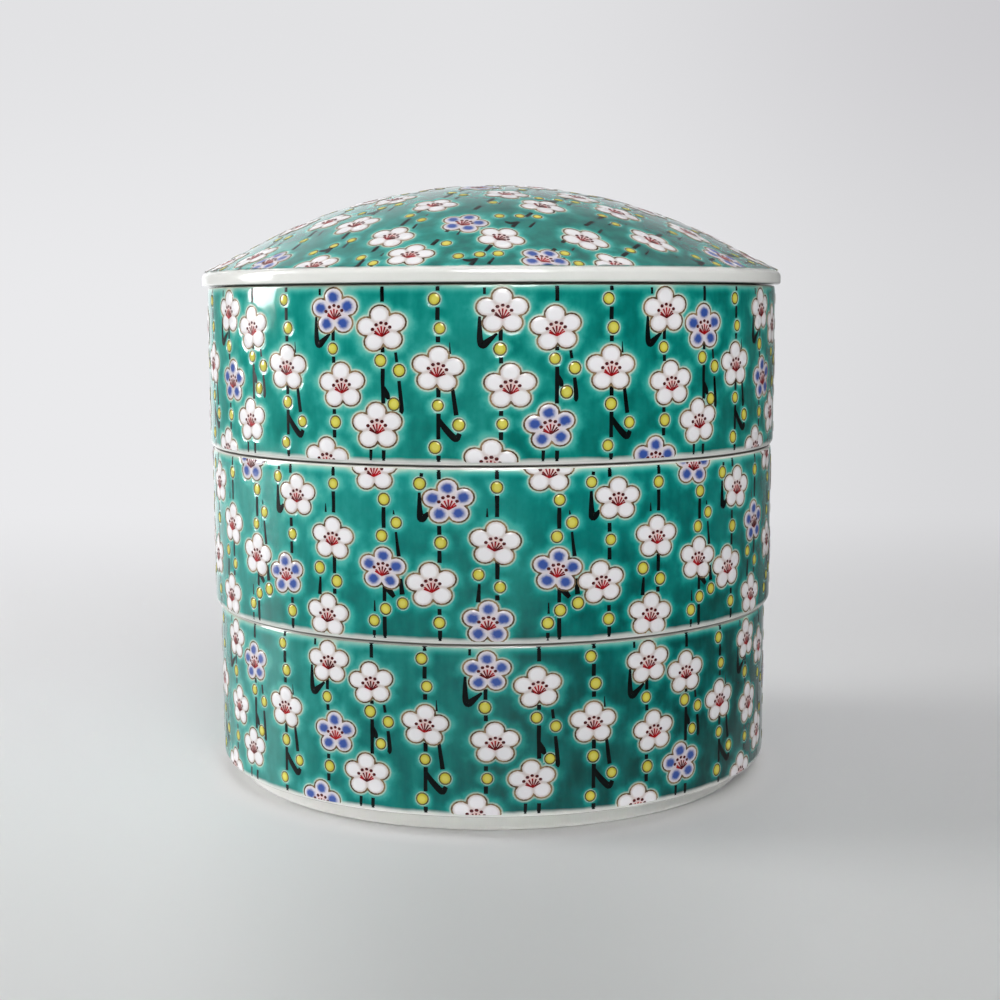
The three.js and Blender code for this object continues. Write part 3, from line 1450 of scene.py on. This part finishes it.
class HaloTree(Tree):
    """A tree that measures how far each point of an enamel coat is from the nearest motif's outline."""

    def __init__(self) -> None:
        """Builds the tree."""
        kinds = {"Blossom Lines": "NodeSocketObject", "Bud Lines": "NodeSocketObject"}
        super().__init__("enamel_halo", kinds | {"Finish": "NodeSocketMaterial"})
        sketch = NodeSketch(self.tree)
        given = sketch.add("NodeGroupInput").outputs
        blossom, bud = (self.distance(sketch, given[label]) for label in kinds)
        nearest = sketch.math("MINIMUM", blossom, sketch.math("DIVIDE", bud, BUD_HALO))
        halo = sketch.math("DIVIDE", nearest, MM)
        feeds = {"Geometry": given["Geometry"], "Name": "halo", "Value": halo}
        stored = sketch.add("GeometryNodeStoreNamedAttribute", feeds, data_type="FLOAT", domain="POINT")
        feeds = {"Geometry": stored.outputs[0], "Material": given["Finish"]}
        last = sketch.add("GeometryNodeSetMaterial", feeds)
        sketch.add("NodeGroupOutput", {"Geometry": last.outputs[0]})

    def distance(self, sketch: NodeSketch, lines: Socket) -> Socket:
        """Draws the nodes that measure the distance to one set of lines.

        Args:
            sketch: Where to draw.
            lines: The socket that names the lines' object.

        Returns:
            The distance in metres.
        """
        shape = sketch.add("GeometryNodeObjectInfo", {"Object": lines}).outputs["Geometry"]
        near = sketch.add("GeometryNodeProximity", target_element="FACES")
        sketch.feed(near.inputs[0], shape)
        return near.outputs["Distance"]

    def dress(self, coat: Thing, blossoms: Thing, buds: Thing, finish: Glaze) -> None:
        """Measures a coat against the blossoms' and the buds' outlines and gives it its finish."""
        self.run(coat, {"Blossom Lines": blossoms, "Bud Lines": buds, "Finish": finish.material()})


# The painted pieces


@dataclass
class MotifSet:
    """The motif meshes and trees that all the pieces are painted with."""

    blossom: BlossomShape
    bud: BudShape
    fan: StamenFan

    def __post_init__(self) -> None:
        """Makes each motif once."""
        self.petal = self.blossom.petal()
        self.petal_line = self.blossom.outline()
        self.stamens = self.fan.build(self.blossom)
        self.bud_dome = self.bud.dome()
        self.bud_line = self.bud.outline()
        self.halo = HaloTree()

    def clear(self) -> None:
        """Removes the loose motifs once every piece is painted."""
        for motif in (self.petal, self.petal_line, self.stamens, self.bud_dome, self.bud_line):
            bpy.data.objects.remove(motif)


@dataclass
class Drawing:
    """Where each motif goes on one piece's flat drawing."""

    blossoms: dict[Bloom, list[Spot]]
    buds: list[Spot]
    branches: list[tuple[Strand, list[Spot]]]


@dataclass
class PaintedPiece:
    """A piece of white porcelain with a green enamel coat and hanging plum branches on it."""

    name: str
    motifs: MotifSet
    enamel: GreenEnamel

    def build(self) -> None:
        """Builds the piece's meshes, sets each on its body with its finish and hides the CAD nodes that
        they stand for.
        """
        wrap = self.wrap()
        self.dress(self.shell(), PORCELAIN, self.name)
        tree = PaintTree(f"{self.name}_painting", wrap)
        drawing = self.drawing()
        every = drawing.blossoms[Bloom.WHITE] + drawing.blossoms[Bloom.BLUE]
        kit = self.motifs
        around = (kit.blossom.petals, kit.blossom.stretch)
        lines = tree.lay(f"{self.name}_petal_lines", kit.petal_line, every, OUTLINE, wrap, *around)
        bud_lines = tree.lay(f"{self.name}_bud_lines", kit.bud_line, drawing.buds, BUD_LINE, wrap)
        coat = self.coat()
        kit.halo.dress(coat, lines, bud_lines, self.enamel)
        self.dress(coat, self.enamel, f"{self.name}_enamel")
        self.dress(lines, OUTLINE)
        self.dress(bud_lines, BUD_LINE)
        for bloom, finish in ((Bloom.WHITE, WHITE_PETAL), (Bloom.BLUE, BLUE_PETAL)):
            name = f"{self.name}_{bloom.value}_petals"
            self.dress(tree.lay(name, kit.petal, drawing.blossoms[bloom], finish, wrap, *around), finish)
        fan = tree.lay(f"{self.name}_stamens", kit.stamens, every, STAMEN, wrap, 1, kit.blossom.stretch)
        self.dress(fan, STAMEN)
        self.dress(tree.lay(f"{self.name}_buds", kit.bud_dome, drawing.buds, BUD, wrap), BUD)
        self.dress(self.branches(tree, drawing, wrap), BRANCH)

    def branches(self, tree: PaintTree, drawing: Drawing, wrap: SurfaceWrap) -> Thing:
        """Lays every strand's strokes and joins them into one mesh.

        Args:
            tree: The tree that lays them.
            drawing: Where the strands go.
            wrap: The surface.

        Returns:
            The branches.
        """
        joined = bmesh.new()
        for number, (strand, spots) in enumerate(drawing.branches):
            motif = strand.branch(f"branch_{number}")
            laid = tree.lay(f"{self.name}_branch_{number}", motif, spots, BRANCH, wrap)
            joined.from_mesh(laid.data)
            bpy.data.objects.remove(motif)
            bpy.data.objects.remove(laid)
        mesh = bpy.data.meshes.new(f"{self.name}_branches")
        joined.to_mesh(mesh)
        joined.free()
        mesh.shade_smooth()
        mesh.materials.append(BRANCH.material())
        made = bpy.data.objects.new(f"{self.name}_branches", mesh)
        bpy.context.scene.collection.objects.link(made)
        return made

    def dress(self, piece: Thing, finish: Glaze, *nodes: str) -> None:
        """Sets a finished mesh on its body.

        Args:
            piece: The mesh object.
            finish: Its finish.
            nodes: The CAD nodes that it stands for.
        """
        piece.data.materials.clear()
        piece.data.materials.append(finish.material())
        piece.data.polygons.foreach_set("material_index", [0] * len(piece.data.polygons))
        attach(piece, self.name)
        if nodes:
            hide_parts(*nodes)
        log.info("%s rides on %s: %d faces", piece.name, self.name, len(piece.data.polygons))

    def plug_radius(self) -> float:
        """The outside radius of the foot ring or collar in the CAD model.

        Returns:
            The radius.
        """
        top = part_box(self.name)[0].z + PLUG_BAND * MM
        points = [v.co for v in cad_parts[self.name].data.vertices]
        return max(math.hypot(p.x, p.y) for p in points if p.z < top) / MM

    def wrap(self) -> SurfaceWrap:
        """The surface that is painted."""
        raise NotImplementedError

    def shell(self) -> Thing:
        """The porcelain."""
        raise NotImplementedError

    def coat(self) -> Thing:
        """The enamel, before its halo is measured."""
        raise NotImplementedError

    def drawing(self) -> Drawing:
        """The flat drawing."""
        raise NotImplementedError


@dataclass
class Tier(PaintedPiece):
    """A tray: a foot ring, a floor and a painted wall."""

    strands: tuple[Strand, ...] = OUTER_STRANDS
    angles: tuple[float, ...] = (-19.4, -9.2, 1.6)
    blue: tuple[int, ...] = ()
    short_turns: int | None = None
    repeats: int = 12
    swell: float = 0.02
    drop: float = 0.25
    bloom: float = 1.0
    reach_up: float = 0.7
    reach_down: float = 1.0
    nudges: dict[tuple[int, int], float] = field(default_factory=dict)
    foot_height: float = 5.0
    foot_width: float = 5.5
    foot_recess: float = 2.0
    foot_rounds: tuple[float, ...] = (1.0, 0.9, 1.2, 0.5)
    wall: float = 4.65
    mouth_round: float = 1.2
    floor: float = 4.5
    floor_round: float = 5.0

    def wrap(self) -> WallWrap:
        """The painted wall.

        Returns:
            The wall, from the CAD model's own boxes.
        """
        shell_low, shell_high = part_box(self.name)
        coat_low, coat_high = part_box(f"{self.name}_enamel")
        return WallWrap(
            radius=coat_high.x / MM,
            bottom=shell_low.z / MM + self.foot_height,
            top=shell_high.z / MM,
            low=coat_low.z / MM - self.reach_down,
            high=coat_high.z / MM + self.reach_up,
        )

    def shell(self) -> Thing:
        """Turns the porcelain.

        Returns:
            The porcelain.
        """
        wall = self.wrap()
        foot = self.plug_radius()
        base = wall.bottom - self.foot_height
        outside = wall.radius - SHELL_INSET
        mouth = wall.radius - self.wall
        inner_foot = foot - self.foot_width
        ground = base + self.foot_recess
        under, inner, outer, meet = self.foot_rounds
        outline = rounded(
            [
                (0.0, ground, 0.0),
                (inner_foot, ground, under),
                (inner_foot, base, inner),
                (foot, base, outer),
                (foot, wall.bottom, meet),
                (outside, wall.bottom, wall.rounding),
                (outside, wall.top, wall.rounding),
                (mouth, wall.top, self.mouth_round),
                (mouth, ground + self.floor, self.floor_round),
                (0.0, ground + self.floor, 0.0),
            ]
        )
        seats = (wall.top, wall.bottom)
        # Marks the unglazed seats, which are painted darker as the shade in the seams.
        raw = [float(any(abs(z - seat) < SEAT_DEPTH for seat in seats) and r > foot) for r, z in outline]
        return turned(f"{self.name}_porcelain", outline, SHELL_SEGMENTS, False, {"raw": raw})

    def coat(self) -> Thing:
        """Turns the enamel sleeve, whose edges thin out onto the porcelain.

        Returns:
            The enamel.
        """
        wall = self.wrap()
        shares = bends()
        straight = wall.high - wall.low - wall.roll - wall.top_roll
        steps = round(straight / COAT_STEP)
        heights = [wall.low + wall.roll * (1.0 - share) for share in reversed(shares)]
        heights += [wall.low + wall.roll + straight * k / steps for k in range(1, steps)]
        heights += [wall.high - wall.top_roll * (1.0 - share) for share in shares]
        outline = [(wall.radius - wall.turn_in(z), z) for z in heights]
        under = wall.radius - COAT_UNDER
        outline += [(under, heights[-1]), (under, heights[0])]
        values = {
            "rim_gap": [wall.high - z for _, z in outline],
            "seat_gap": [z - wall.low for _, z in outline],
        }
        return turned(f"{self.name}_coat", outline, COAT_SEGMENTS, True, values)

    def drawing(self) -> Drawing:
        """Hangs the strands round the wall, the same few over and over.

        Returns:
            The drawing, laid flat with its middle at the front.
        """
        wall = self.wrap()
        top = wall.high - self.reach_up - self.drop
        blossoms: dict[Bloom, list[Spot]] = {Bloom.WHITE: [], Bloom.BLUE: []}
        buds: list[Spot] = []
        kinds = [*self.strands, SHORT_STRAND]
        starts: list[list[Spot]] = [[] for _ in kinds]
        count = 0
        for turn in range(self.repeats):
            for place in range(len(self.strands)):
                shorter = place == 0 and turn % 2 == self.short_turns
                kind = len(self.strands) if shorter else place
                strand = kinds[kind]
                turned_on = self.angles[place] + self.nudges.get((turn, place), 0.0)
                angle = math.radians(turned_on) + TURN * turn / self.repeats
                start = wall.radius * (angle + self.swell * math.sin(angle))
                starts[kind].append((start, top, 0.0, 1.0))
                for x, drop in strand.blossoms:
                    bloom = Bloom.BLUE if count in self.blue else Bloom.WHITE
                    tilt = math.radians(HAND_TILT) * wobble(count, drop)
                    size = self.bloom * (1.0 + HAND_BLOSSOM * wobble(drop, count))
                    blossoms[bloom].append((start + x, top - drop - self.motifs.blossom.lift, tilt, size))
                    count += 1
                for x, drop in strand.buds:
                    buds.append((start + x, top - drop, 0.0, 1.0 + HAND_BUD * wobble(turn, drop)))
        branches = [(strand, spots) for strand, spots in zip(kinds, starts) if spots]
        return Drawing(blossoms, buds, branches)


@dataclass
class Lid(PaintedPiece):
    """The domed lid with its bare edge band and locating collar."""

    strands: tuple[Strand, ...] = DOME_STRANDS
    band: float = 3.5
    band_rounds: Point = (0.7, 1.6)
    brim: float = 18.4
    slope: float = 27.0
    thickness: float = 4.2
    collar: float = 5.0
    collar_width: float = 4.0
    collar_rounds: Place = (0.9, 1.0, 0.7)
    meet: Place = (2.0, 0.6, 1.5)
    dome_steps: int = 40
    inside_reach: float = 1.02
    inside_gap: float = 0.5
    outside_gap: float = 3.2
    under_steps: int = 10
    hem_share: float = 2.6
    rim_gap: float = 10.0
    lean: float = 28.0
    spacing: float = 13.75
    offset: float = 5.9
    rows: tuple[int, int] = (-7, 7)
    steps: tuple[int, int] = (-5, 6)
    phases: tuple[float, ...] = (0.0, 13.7, 8.2)
    stray: Point = (1.2, 1.5)
    margin: float = 7.0
    blossom_size: float = 0.92
    bud_size: float = 0.86
    blue: tuple[Point, ...] = ()
    bare: tuple[Point, ...] = ()
    shifts: dict[Point, Point] = field(default_factory=dict)

    def wrap(self) -> DomeWrap:
        """The painted dome.

        Returns:
            The dome, from the CAD model's own boxes.
        """
        low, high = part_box(self.name)
        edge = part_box(f"{self.name}_enamel")[1].x / MM
        slope = math.radians(self.slope)
        start = high.x / MM - self.brim
        crown = start / math.sin(slope)
        under = low.z / MM + self.collar
        centre = under + self.band + self.brim * math.tan(slope) - crown * math.cos(slope)
        return DomeWrap(crown, centre, start, slope, edge)

    def shell(self) -> Thing:
        """Turns the porcelain.

        Returns:
            The porcelain.
        """
        dome = self.wrap()
        low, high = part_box(self.name)
        under = low.z / MM + self.collar
        radius = high.x / MM
        collar = self.plug_radius()
        inner = collar - self.collar_width
        shares = [k / self.dome_steps for k in range(self.dome_steps + 1)]
        inside = [dome.under(inner * s * self.inside_reach, self.thickness) for s in shares]
        outside = [dome.under((radius - self.outside_gap) * s, SHELL_INSET) for s in reversed(shares)]
        meet_out, meet_up, meet_round = self.meet
        meet = dome.under(inner + meet_out, self.thickness)[1] + meet_up
        inner_round, outer_round, root_round = self.collar_rounds
        outline = rounded(
            [
                *[(r, z, 0.0) for r, z in inside if r < inner - self.inside_gap],
                (inner, meet, meet_round),
                (inner, under - self.collar, inner_round),
                (collar, under - self.collar, outer_round),
                (collar, under, root_round),
                (radius, under, self.band_rounds[0]),
                (radius, dome.under(radius, SHELL_INSET)[1], self.band_rounds[1]),
                *[(r, z, 0.0) for r, z in outside],
            ]
        )
        # Marks the unglazed seats, which are painted darker as the shade in the seams.
        raw = [float(abs(z - under) < SEAT_DEPTH and r > collar) for r, z in outline]
        return turned(f"{self.name}_porcelain", outline, SHELL_SEGMENTS, False, {"raw": raw})

    def coat(self) -> Thing:
        """Turns the enamel cap, whose edge thins out onto the porcelain.

        Returns:
            The enamel.
        """
        dome = self.wrap()
        shares = [k / self.under_steps for k in range(self.under_steps + 1)]
        outline = [dome.under(dome.edge * share, COAT_UNDER) for share in shares]
        steps = round(dome.edge / DOME_STEP)
        radii = [dome.edge - dome.roll + dome.roll * share for share in reversed(bends()[1:])]
        radii += [(dome.edge - dome.roll) * k / steps for k in range(steps, -1, -1)]
        outline += [dome.under(radius, dome.turn_in(radius)) for radius in radii]
        gaps = [self.hem_share * (dome.edge - r) for r, _ in outline]
        values = {"rim_gap": [self.rim_gap] * len(outline), "seat_gap": gaps}
        return turned(f"{self.name}_coat", outline, DOME_SEGMENTS, False, values)

    def drawing(self) -> Drawing:
        """Lays straight strands side by side across the dome, aslant to the front.

        Returns:
            The drawing in plan.
        """
        dome = self.wrap()
        lean = math.radians(self.lean)
        along = Vector((math.sin(lean), math.cos(lean)))
        across = Vector((math.cos(lean), -math.sin(lean)))
        blossoms: dict[Bloom, list[Spot]] = {Bloom.WHITE: [], Bloom.BLUE: []}
        buds: list[Spot] = []
        starts: list[list[Spot]] = [[] for _ in self.strands]
        for row in range(*self.rows):
            kind = row % len(self.strands)
            strand = self.strands[kind]
            for step in range(*self.steps):
                base = self.phases[kind] + step * DOME_PITCH
                middle = across * (self.offset + self.spacing * row) + along * base
                if middle.length > dome.edge + DOME_PITCH:
                    continue
                starts[kind].append((middle.x, middle.y, -lean, 1.0))
                aside, ahead = self.shifts.get((row, step), (0.0, 0.0))
                middle = middle + across * aside + along * ahead
                x, drop = strand.blossoms[0]
                shift = x + self.stray[0] * wobble(row, step)
                spot = middle + across * shift - along * (drop + self.stray[1] * wobble(step, row))
                if spot.length < dome.edge + self.margin and (row, step) not in self.bare:
                    bloom = Bloom.BLUE if (row, step) in self.blue else Bloom.WHITE
                    tilt = -lean + math.radians(HAND_TILT) * wobble(row + 0.5, step)
                    blossoms[bloom].append((spot.x, spot.y, tilt, self.blossom_size))
                for x, drop in strand.buds:
                    spot = middle + across * x - along * drop
                    if spot.length < dome.edge + self.margin:
                        size = self.bud_size * (1.0 + HAND_BUD * wobble(drop, row, step))
                        buds.append((spot.x, spot.y, 0.0, size))
        return Drawing(blossoms, buds, list(zip(self.strands, starts)))


# The studio


@dataclass(frozen=True)
class PhotoCamera:
    """The camera at the photograph's viewing angle."""

    lens: float = 59.58
    distance: float = 0.4801
    height: float = 0.13213
    pitch: float = 6.673
    roll: float = -0.24
    shift: float = 0.0077
    sensor: float = 36.0
    clip: Point = (0.01, 50.0)

    def place(self) -> None:
        """Sets the camera up and makes it the scene's own."""
        data = bpy.data.cameras.new("camera")
        data.lens = self.lens
        data.sensor_width = self.sensor
        data.shift_x = self.shift
        data.clip_start, data.clip_end = self.clip
        camera = bpy.data.objects.new("camera", data)
        tilt = Matrix.Rotation(math.radians(90.0 - self.pitch), 4, "X")
        roll = Matrix.Rotation(math.radians(self.roll), 4, "Z")
        camera.matrix_world = Matrix.Translation((0.0, -self.distance, self.height)) @ tilt @ roll
        bpy.context.scene.collection.objects.link(camera)
        bpy.context.scene.camera = camera


class Reach(Enum):
    """Which part of a surface's look a lamp takes part in."""

    ALL = "all"
    MATT = "matt"
    GLOSS = "gloss"


@dataclass(frozen=True)
class Lamp:
    """A soft rectangular lamp that points at a spot of the object."""

    name: str
    place: tuple[float, float, float]
    aim: tuple[float, float, float]
    width: float
    height: float
    watts: float
    spread: float = 180.0
    reach: Reach = Reach.ALL

    def hang(self) -> None:
        """Sets the lamp up."""
        light = bpy.data.lights.new(self.name, "AREA")
        light.shape = "RECTANGLE"
        light.size = self.width
        light.size_y = self.height
        light.energy = self.watts
        light.spread = math.radians(self.spread)
        lamp = bpy.data.objects.new(self.name, light)
        lamp.location = self.place
        lamp.visible_camera = False
        lamp.visible_diffuse = self.reach is not Reach.GLOSS
        lamp.visible_glossy = self.reach is not Reach.MATT
        way = Vector(self.aim) - Vector(self.place)
        lamp.rotation_euler = way.to_track_quat("-Z", "Y").to_euler()
        bpy.context.scene.collection.objects.link(lamp)


@dataclass(frozen=True)
class Studio:
    """The pale floor that sweeps up into a backdrop, the soft lamps and the dim room."""

    half_width: float = 3.0
    apron: tuple[float, float] = (9.0, -9.0)
    front: float = -2.5
    back: float = 1.3
    sweep: float = 0.9
    top: float = 2.6
    sink: float = 0.0001
    # Floor greys with painted light and shade: paler at the left and behind the box, darker in front of it,
    # and a painted pool of light round the foot.
    near_left: Colour = paint(232, 233, 233)
    near_grey: Colour = paint(207, 208, 208)
    near_right: Colour = paint(222, 223, 223)
    far_grey: Colour = paint(236, 236, 237)
    painted_light_grey: Colour = paint(248, 248, 248)
    # Painted shade: the floor at the right is this dark where a gloss mirrors it.
    mirrored_shade_grey: Colour = paint(40, 40, 41)
    # The backdrop's glow is painted light, paler at the left and low down.
    left_grey: Colour = paint(234, 234, 236)
    right_grey: Colour = paint(215, 215, 217)
    left_top: Colour = paint(226, 226, 228)
    right_top: Colour = paint(204, 203, 206)
    room_low: float = 0.05
    room_high: float = 0.6
    room_seen: float = 0.72
    room_rise: float = 0.9
    sweep_steps: int = 16
    roughness: float = 0.55
    specular: float = 0.2
    nearest: float = 0.2
    # Ranges of the floor's painted light and shade, and of the painted pool of light round the foot.
    left_range: Range = (-0.24, 0.0, 0.0, 1.0)
    right_range: Range = (0.02, 0.24, 0.0, 1.0)
    behind_range: Range = (-0.7, -0.3, 1.0, 0.0)
    away_range: Range = (-0.14, 0.04, 0.0, 1.0)
    painted_light_range: Range = (0.073, 0.087, 0.6, 0.0)
    # Where that painted shade starts at the right.
    mirrored_shade_range: Range = (0.06, 0.2, 0.0, 0.7)
    # Ranges of the backdrop's glow and of its painted light, as seen and as a gloss mirrors it.
    aside_range: Range = (-0.02, 0.34, 0.0, 1.0)
    rise_range: Range = (0.1, 0.6, 0.0, 1.0)
    falling_range: Range = (1.1, 2.1, 1.2, 0.75)
    sided_range: Range = (-0.3, 0.1, 1.3, 0.9)
    corner_range: Range = (0.12, 0.34, 0.0, 0.7)
    corner_height: Range = (0.5, 1.2, 1.0, 0.0)
    within_range: Range = (0.42, 0.62, 1.0, 0.0)
    far_range: Range = (0.0, 0.6, 0.0, 1.0)
    lamps: tuple[Lamp, ...] = (
        Lamp("window_lamp", (-1.3, 0.1, 0.564), (0.0, 0.0, 0.564), 0.64, 0.86, 12.9, reach=Reach.MATT),
        Lamp("pane_lamp", (-1.28, 0.2, 0.564), (0.0, 0.0, 0.564), 0.38, 0.86, 29.0, reach=Reach.GLOSS),
        Lamp("front_lamp", (0.09, -0.5, 0.38), (0.0, -0.08, 0.135), 0.24, 0.12, 0.0955, 42.0),
        Lamp("fill_lamp", (0.52, -0.4, 0.56), (0.0, 0.0, 0.11), 0.5, 0.5, 0.52),
        Lamp("strip_lamp", (-0.2, -0.7, 0.03), (0.0, 0.0, -0.001), 0.6, 0.006, 0.007, 2.0, Reach.MATT),
        Lamp("glint_lamp", (0.044, -0.84, 0.645), (0.0, 0.0, 0.1), 0.46, 0.6, 20.0, reach=Reach.GLOSS),
    )

    def build(self) -> None:
        """Sets up the floor, the lamps and the room."""
        rows = [(self.front, 0.0), (self.back, 0.0)]
        for k in range(1, self.sweep_steps + 1):
            angle = math.pi / 2.0 * k / self.sweep_steps
            rows.append((self.back + self.sweep * math.sin(angle), self.sweep * (1.0 - math.cos(angle))))
        rows.append((self.back + self.sweep, self.top))
        points = [(x, y, z - self.sink) for y, z in rows for x in (-self.half_width, self.half_width)]
        # A wider apron in front fills the views from behind.
        points[:0] = [(x, self.apron[1], -self.sink) for x in (-self.apron[0], self.apron[0])]
        faces = [(2 * k, 2 * k + 1, 2 * k + 3, 2 * k + 2) for k in range(len(rows))]
        floor = mesh_object("floor", points, faces, {})
        floor.data.materials.append(self.floor_paint())
        for lamp in self.lamps:
            lamp.hang()
        world = bpy.data.worlds.new("room")
        world.use_nodes = True
        sketch = NodeSketch(world.node_tree)
        back = world.node_tree.nodes["Background"]
        back.inputs["Color"].default_value = (1.0, 1.0, 1.0, 1.0)
        way = sketch.add("ShaderNodeTexCoord").outputs["Generated"]
        up = sketch.add("ShaderNodeSeparateXYZ", {"Vector": way}).outputs["Z"]
        dim = sketch.ramp(up, 0.0, self.room_rise, self.room_low, self.room_high)
        rays = sketch.add("ShaderNodeLightPath").outputs
        seen = sketch.math("MULTIPLY", rays["Is Camera Ray"], self.room_seen)
        sketch.feed(back.inputs["Strength"], sketch.math("MAXIMUM", dim, seen))
        bpy.context.scene.world = world
        bpy.context.scene.view_settings.view_transform = "Standard"

    def floor_paint(self) -> bpy.types.Material:
        """Makes the floor's matt paint, which runs into a glowing pale backdrop far behind, painted paler
        at the left and low down.

        Returns:
            The material.
        """
        material = bpy.data.materials.new("floor_paint")
        material.use_nodes = True
        sketch = NodeSketch(material.node_tree)
        shader = material.node_tree.nodes["Principled BSDF"]
        shader.inputs["Roughness"].default_value = self.roughness
        shader.inputs["Specular IOR Level"].default_value = self.specular
        place = sketch.add("ShaderNodeTexCoord").outputs["Object"]
        spot = sketch.add("ShaderNodeSeparateXYZ", {"Vector": place}).outputs
        rays = sketch.add("ShaderNodeLightPath").outputs
        depth = sketch.math("ADD", spot["Y"], PhotoCamera.distance)
        slant = sketch.math("DIVIDE", spot["X"], sketch.math("MAXIMUM", depth, self.nearest))
        sketch.feed(shader.inputs["Base Color"], self.matt(sketch, spot, slant, rays["Is Glossy Ray"]))
        share = sketch.ramp(rays["Is Camera Ray"], 0.0, 1.0, self.mirrored_share(sketch, spot, slant), 1.0)
        aside = sketch.ramp(slant, *self.aside_range)
        low = sketch.mix(aside, self.left_grey, self.right_grey)
        high = sketch.mix(aside, self.left_top, self.right_top)
        tone = sketch.mix(sketch.ramp(spot["Z"], *self.rise_range), low, high)
        glow = sketch.add("ShaderNodeEmission", {"Color": tone, "Strength": share})
        # Seen by the camera, or in a gloss as wide as the camera sees it, the far part is a glowing
        # backdrop with painted light, paler at the left and low down.
        mirrored = sketch.math("MAXIMUM", rays["Is Glossy Ray"], rays["Is Transmission Ray"])
        within = sketch.ramp(sketch.math("ABSOLUTE", slant), *self.within_range)
        seen = sketch.math("MAXIMUM", rays["Is Camera Ray"], sketch.math("MULTIPLY", mirrored, within))
        far = sketch.math("MULTIPLY", seen, sketch.ramp(spot["Y"], *self.far_range))
        both = sketch.add("ShaderNodeMixShader", {"Fac": far})
        sketch.feed(both.inputs[1], shader.outputs[0])
        sketch.feed(both.inputs[2], glow.outputs[0])
        last = material.node_tree.nodes["Material Output"]
        sketch.feed(last.inputs["Surface"], both.outputs[0])
        return material

    def matt(self, sketch: NodeSketch, spot: Any, slant: Socket, glossy: Socket) -> Socket:
        """Draws the floor's greys, with painted light and shade round the box and in what its right side
        mirrors.

        Args:
            sketch: Where to draw.
            spot: The place's coordinates.
            slant: How far aside of the camera's middle line the place is.
            glossy: Whether the place is seen in a gloss.

        Returns:
            The colour.
        """
        # Painted light at the left and behind the box, and painted shade in front of it.
        near = sketch.mix(sketch.ramp(slant, *self.left_range), self.near_left, self.near_grey)
        near = sketch.mix(sketch.ramp(slant, *self.right_range), near, self.near_right)
        near = sketch.mix(sketch.ramp(spot["Y"], *self.behind_range), near, self.near_right)
        plain = sketch.mix(sketch.ramp(spot["Y"], *self.away_range), near, self.far_grey)
        # A painted pool of light round the foot.
        squares = [sketch.math("MULTIPLY", spot[axis], spot[axis]) for axis in "XY"]
        out = sketch.math("SQRT", sketch.math("ADD", *squares))
        plain = sketch.mix(sketch.ramp(out, *self.painted_light_range), plain, self.painted_light_grey)
        # Painted shade where the box's right side mirrors the floor.
        shaded = sketch.math("MULTIPLY", sketch.ramp(spot["X"], *self.mirrored_shade_range), glossy)
        return sketch.mix(shaded, plain, self.mirrored_shade_grey)

    def mirrored_share(self, sketch: NodeSketch, spot: Any, slant: Socket) -> Socket:
        """Draws how bright the backdrop is when it is seen in a gloss, as a painted reflection that is
        brighter at the left and low down and darker towards the right.

        Args:
            sketch: Where to draw.
            spot: The place's coordinates.
            slant: How far aside of the camera's middle line the place is.

        Returns:
            The share of its usual brightness.
        """
        falling = sketch.ramp(spot["Z"], *self.falling_range)
        sided = sketch.math("MULTIPLY", falling, sketch.ramp(slant, *self.sided_range))
        corner = sketch.ramp(slant, *self.corner_range)
        corner = sketch.math("MULTIPLY", corner, sketch.ramp(spot["Z"], *self.corner_height))
        return sketch.math("MULTIPLY", sided, sketch.math("SUBTRACT", 1.0, corner))


TOP_BLUE = (7, 11, 12, 16, 22, 27, 33, 38, 43, 49, 54, 58, 64, 69)
MIDDLE_BLUE = (1, 2, 5, 7, 12, 16, 21, 27, 32, 38, 43, 49, 54, 60, 66, 69)
BOTTOM_BLUE = (3, 13, 20, 26, 31, 37, 43, 48, 54, 60, 66, 70, 71)
LID_BLUE = (
    (1, -3),
    (-2, -4),
    (3, -3),
    (0, -1),
    (-3, -1),
    (2, 0),
    (5, -1),
    (-1, 1),
    (-5, 1),
    (4, 1),
    (1, 2),
    (-3, 2),
    (-1, 3),
)
LID_BARE = ((5, -2),)
LID_SHIFTS = {
    (-2, -4): (-3.0, 2.0),
    (-1, -4): (1.1, 1.4),
    (1, -4): (-2.5, 1.2),
    (0, -3): (-0.3, -1.1),
    (-1, -3): (0.3, -1.6),
    (1, -3): (3.0, -3.2),
    (1, -2): (1.4, 2.4),
    (2, -2): (-1.1, 1.6),
    (3, -2): (4.0, -2.6),
    (3, -1): (0.6, 5.0),
    (3, -3): (0.9, 5.0),
    (4, -3): (0.7, 1.9),
    (5, -1): (2.2, 2.1),
    (4, -1): (0.5, 5.0),
}


def main() -> None:
    """Builds the studio and the four painted pieces, from the bottom up."""
    logging.basicConfig(level=logging.INFO, format="%(message)s")
    PhotoCamera().place()
    Studio().build()
    motifs = MotifSet(BlossomShape(), BudShape(), StamenFan())
    tiers = (
        Tier(
            "bottom_tier",
            motifs,
            BOTTOM_ENAMEL,
            OUTER_STRANDS,
            (-22.0, -12.0, -1.3),
            BOTTOM_BLUE,
            short_turns=0,
            swell=0.04,
            bloom=0.95,
        ),
        Tier(
            "middle_tier",
            motifs,
            MIDDLE_ENAMEL,
            MIDDLE_STRANDS,
            (-19.2, -9.2, 0.8),
            MIDDLE_BLUE,
            drop=0.8,
            bloom=0.97,
            nudges={(1, 0): 0.8},
        ),
        Tier(
            "top_tier",
            motifs,
            TOP_ENAMEL,
            OUTER_STRANDS,
            (-18.9, -9.1, 1.55),
            TOP_BLUE,
            short_turns=1,
            reach_up=1.05,
        ),
    )
    for tier in tiers:
        tier.build()
    Lid("lid", motifs, LID_ENAMEL, blue=LID_BLUE, bare=LID_BARE, shifts=LID_SHIFTS).build()
    motifs.clear()


if __name__ == "__main__":
    main()
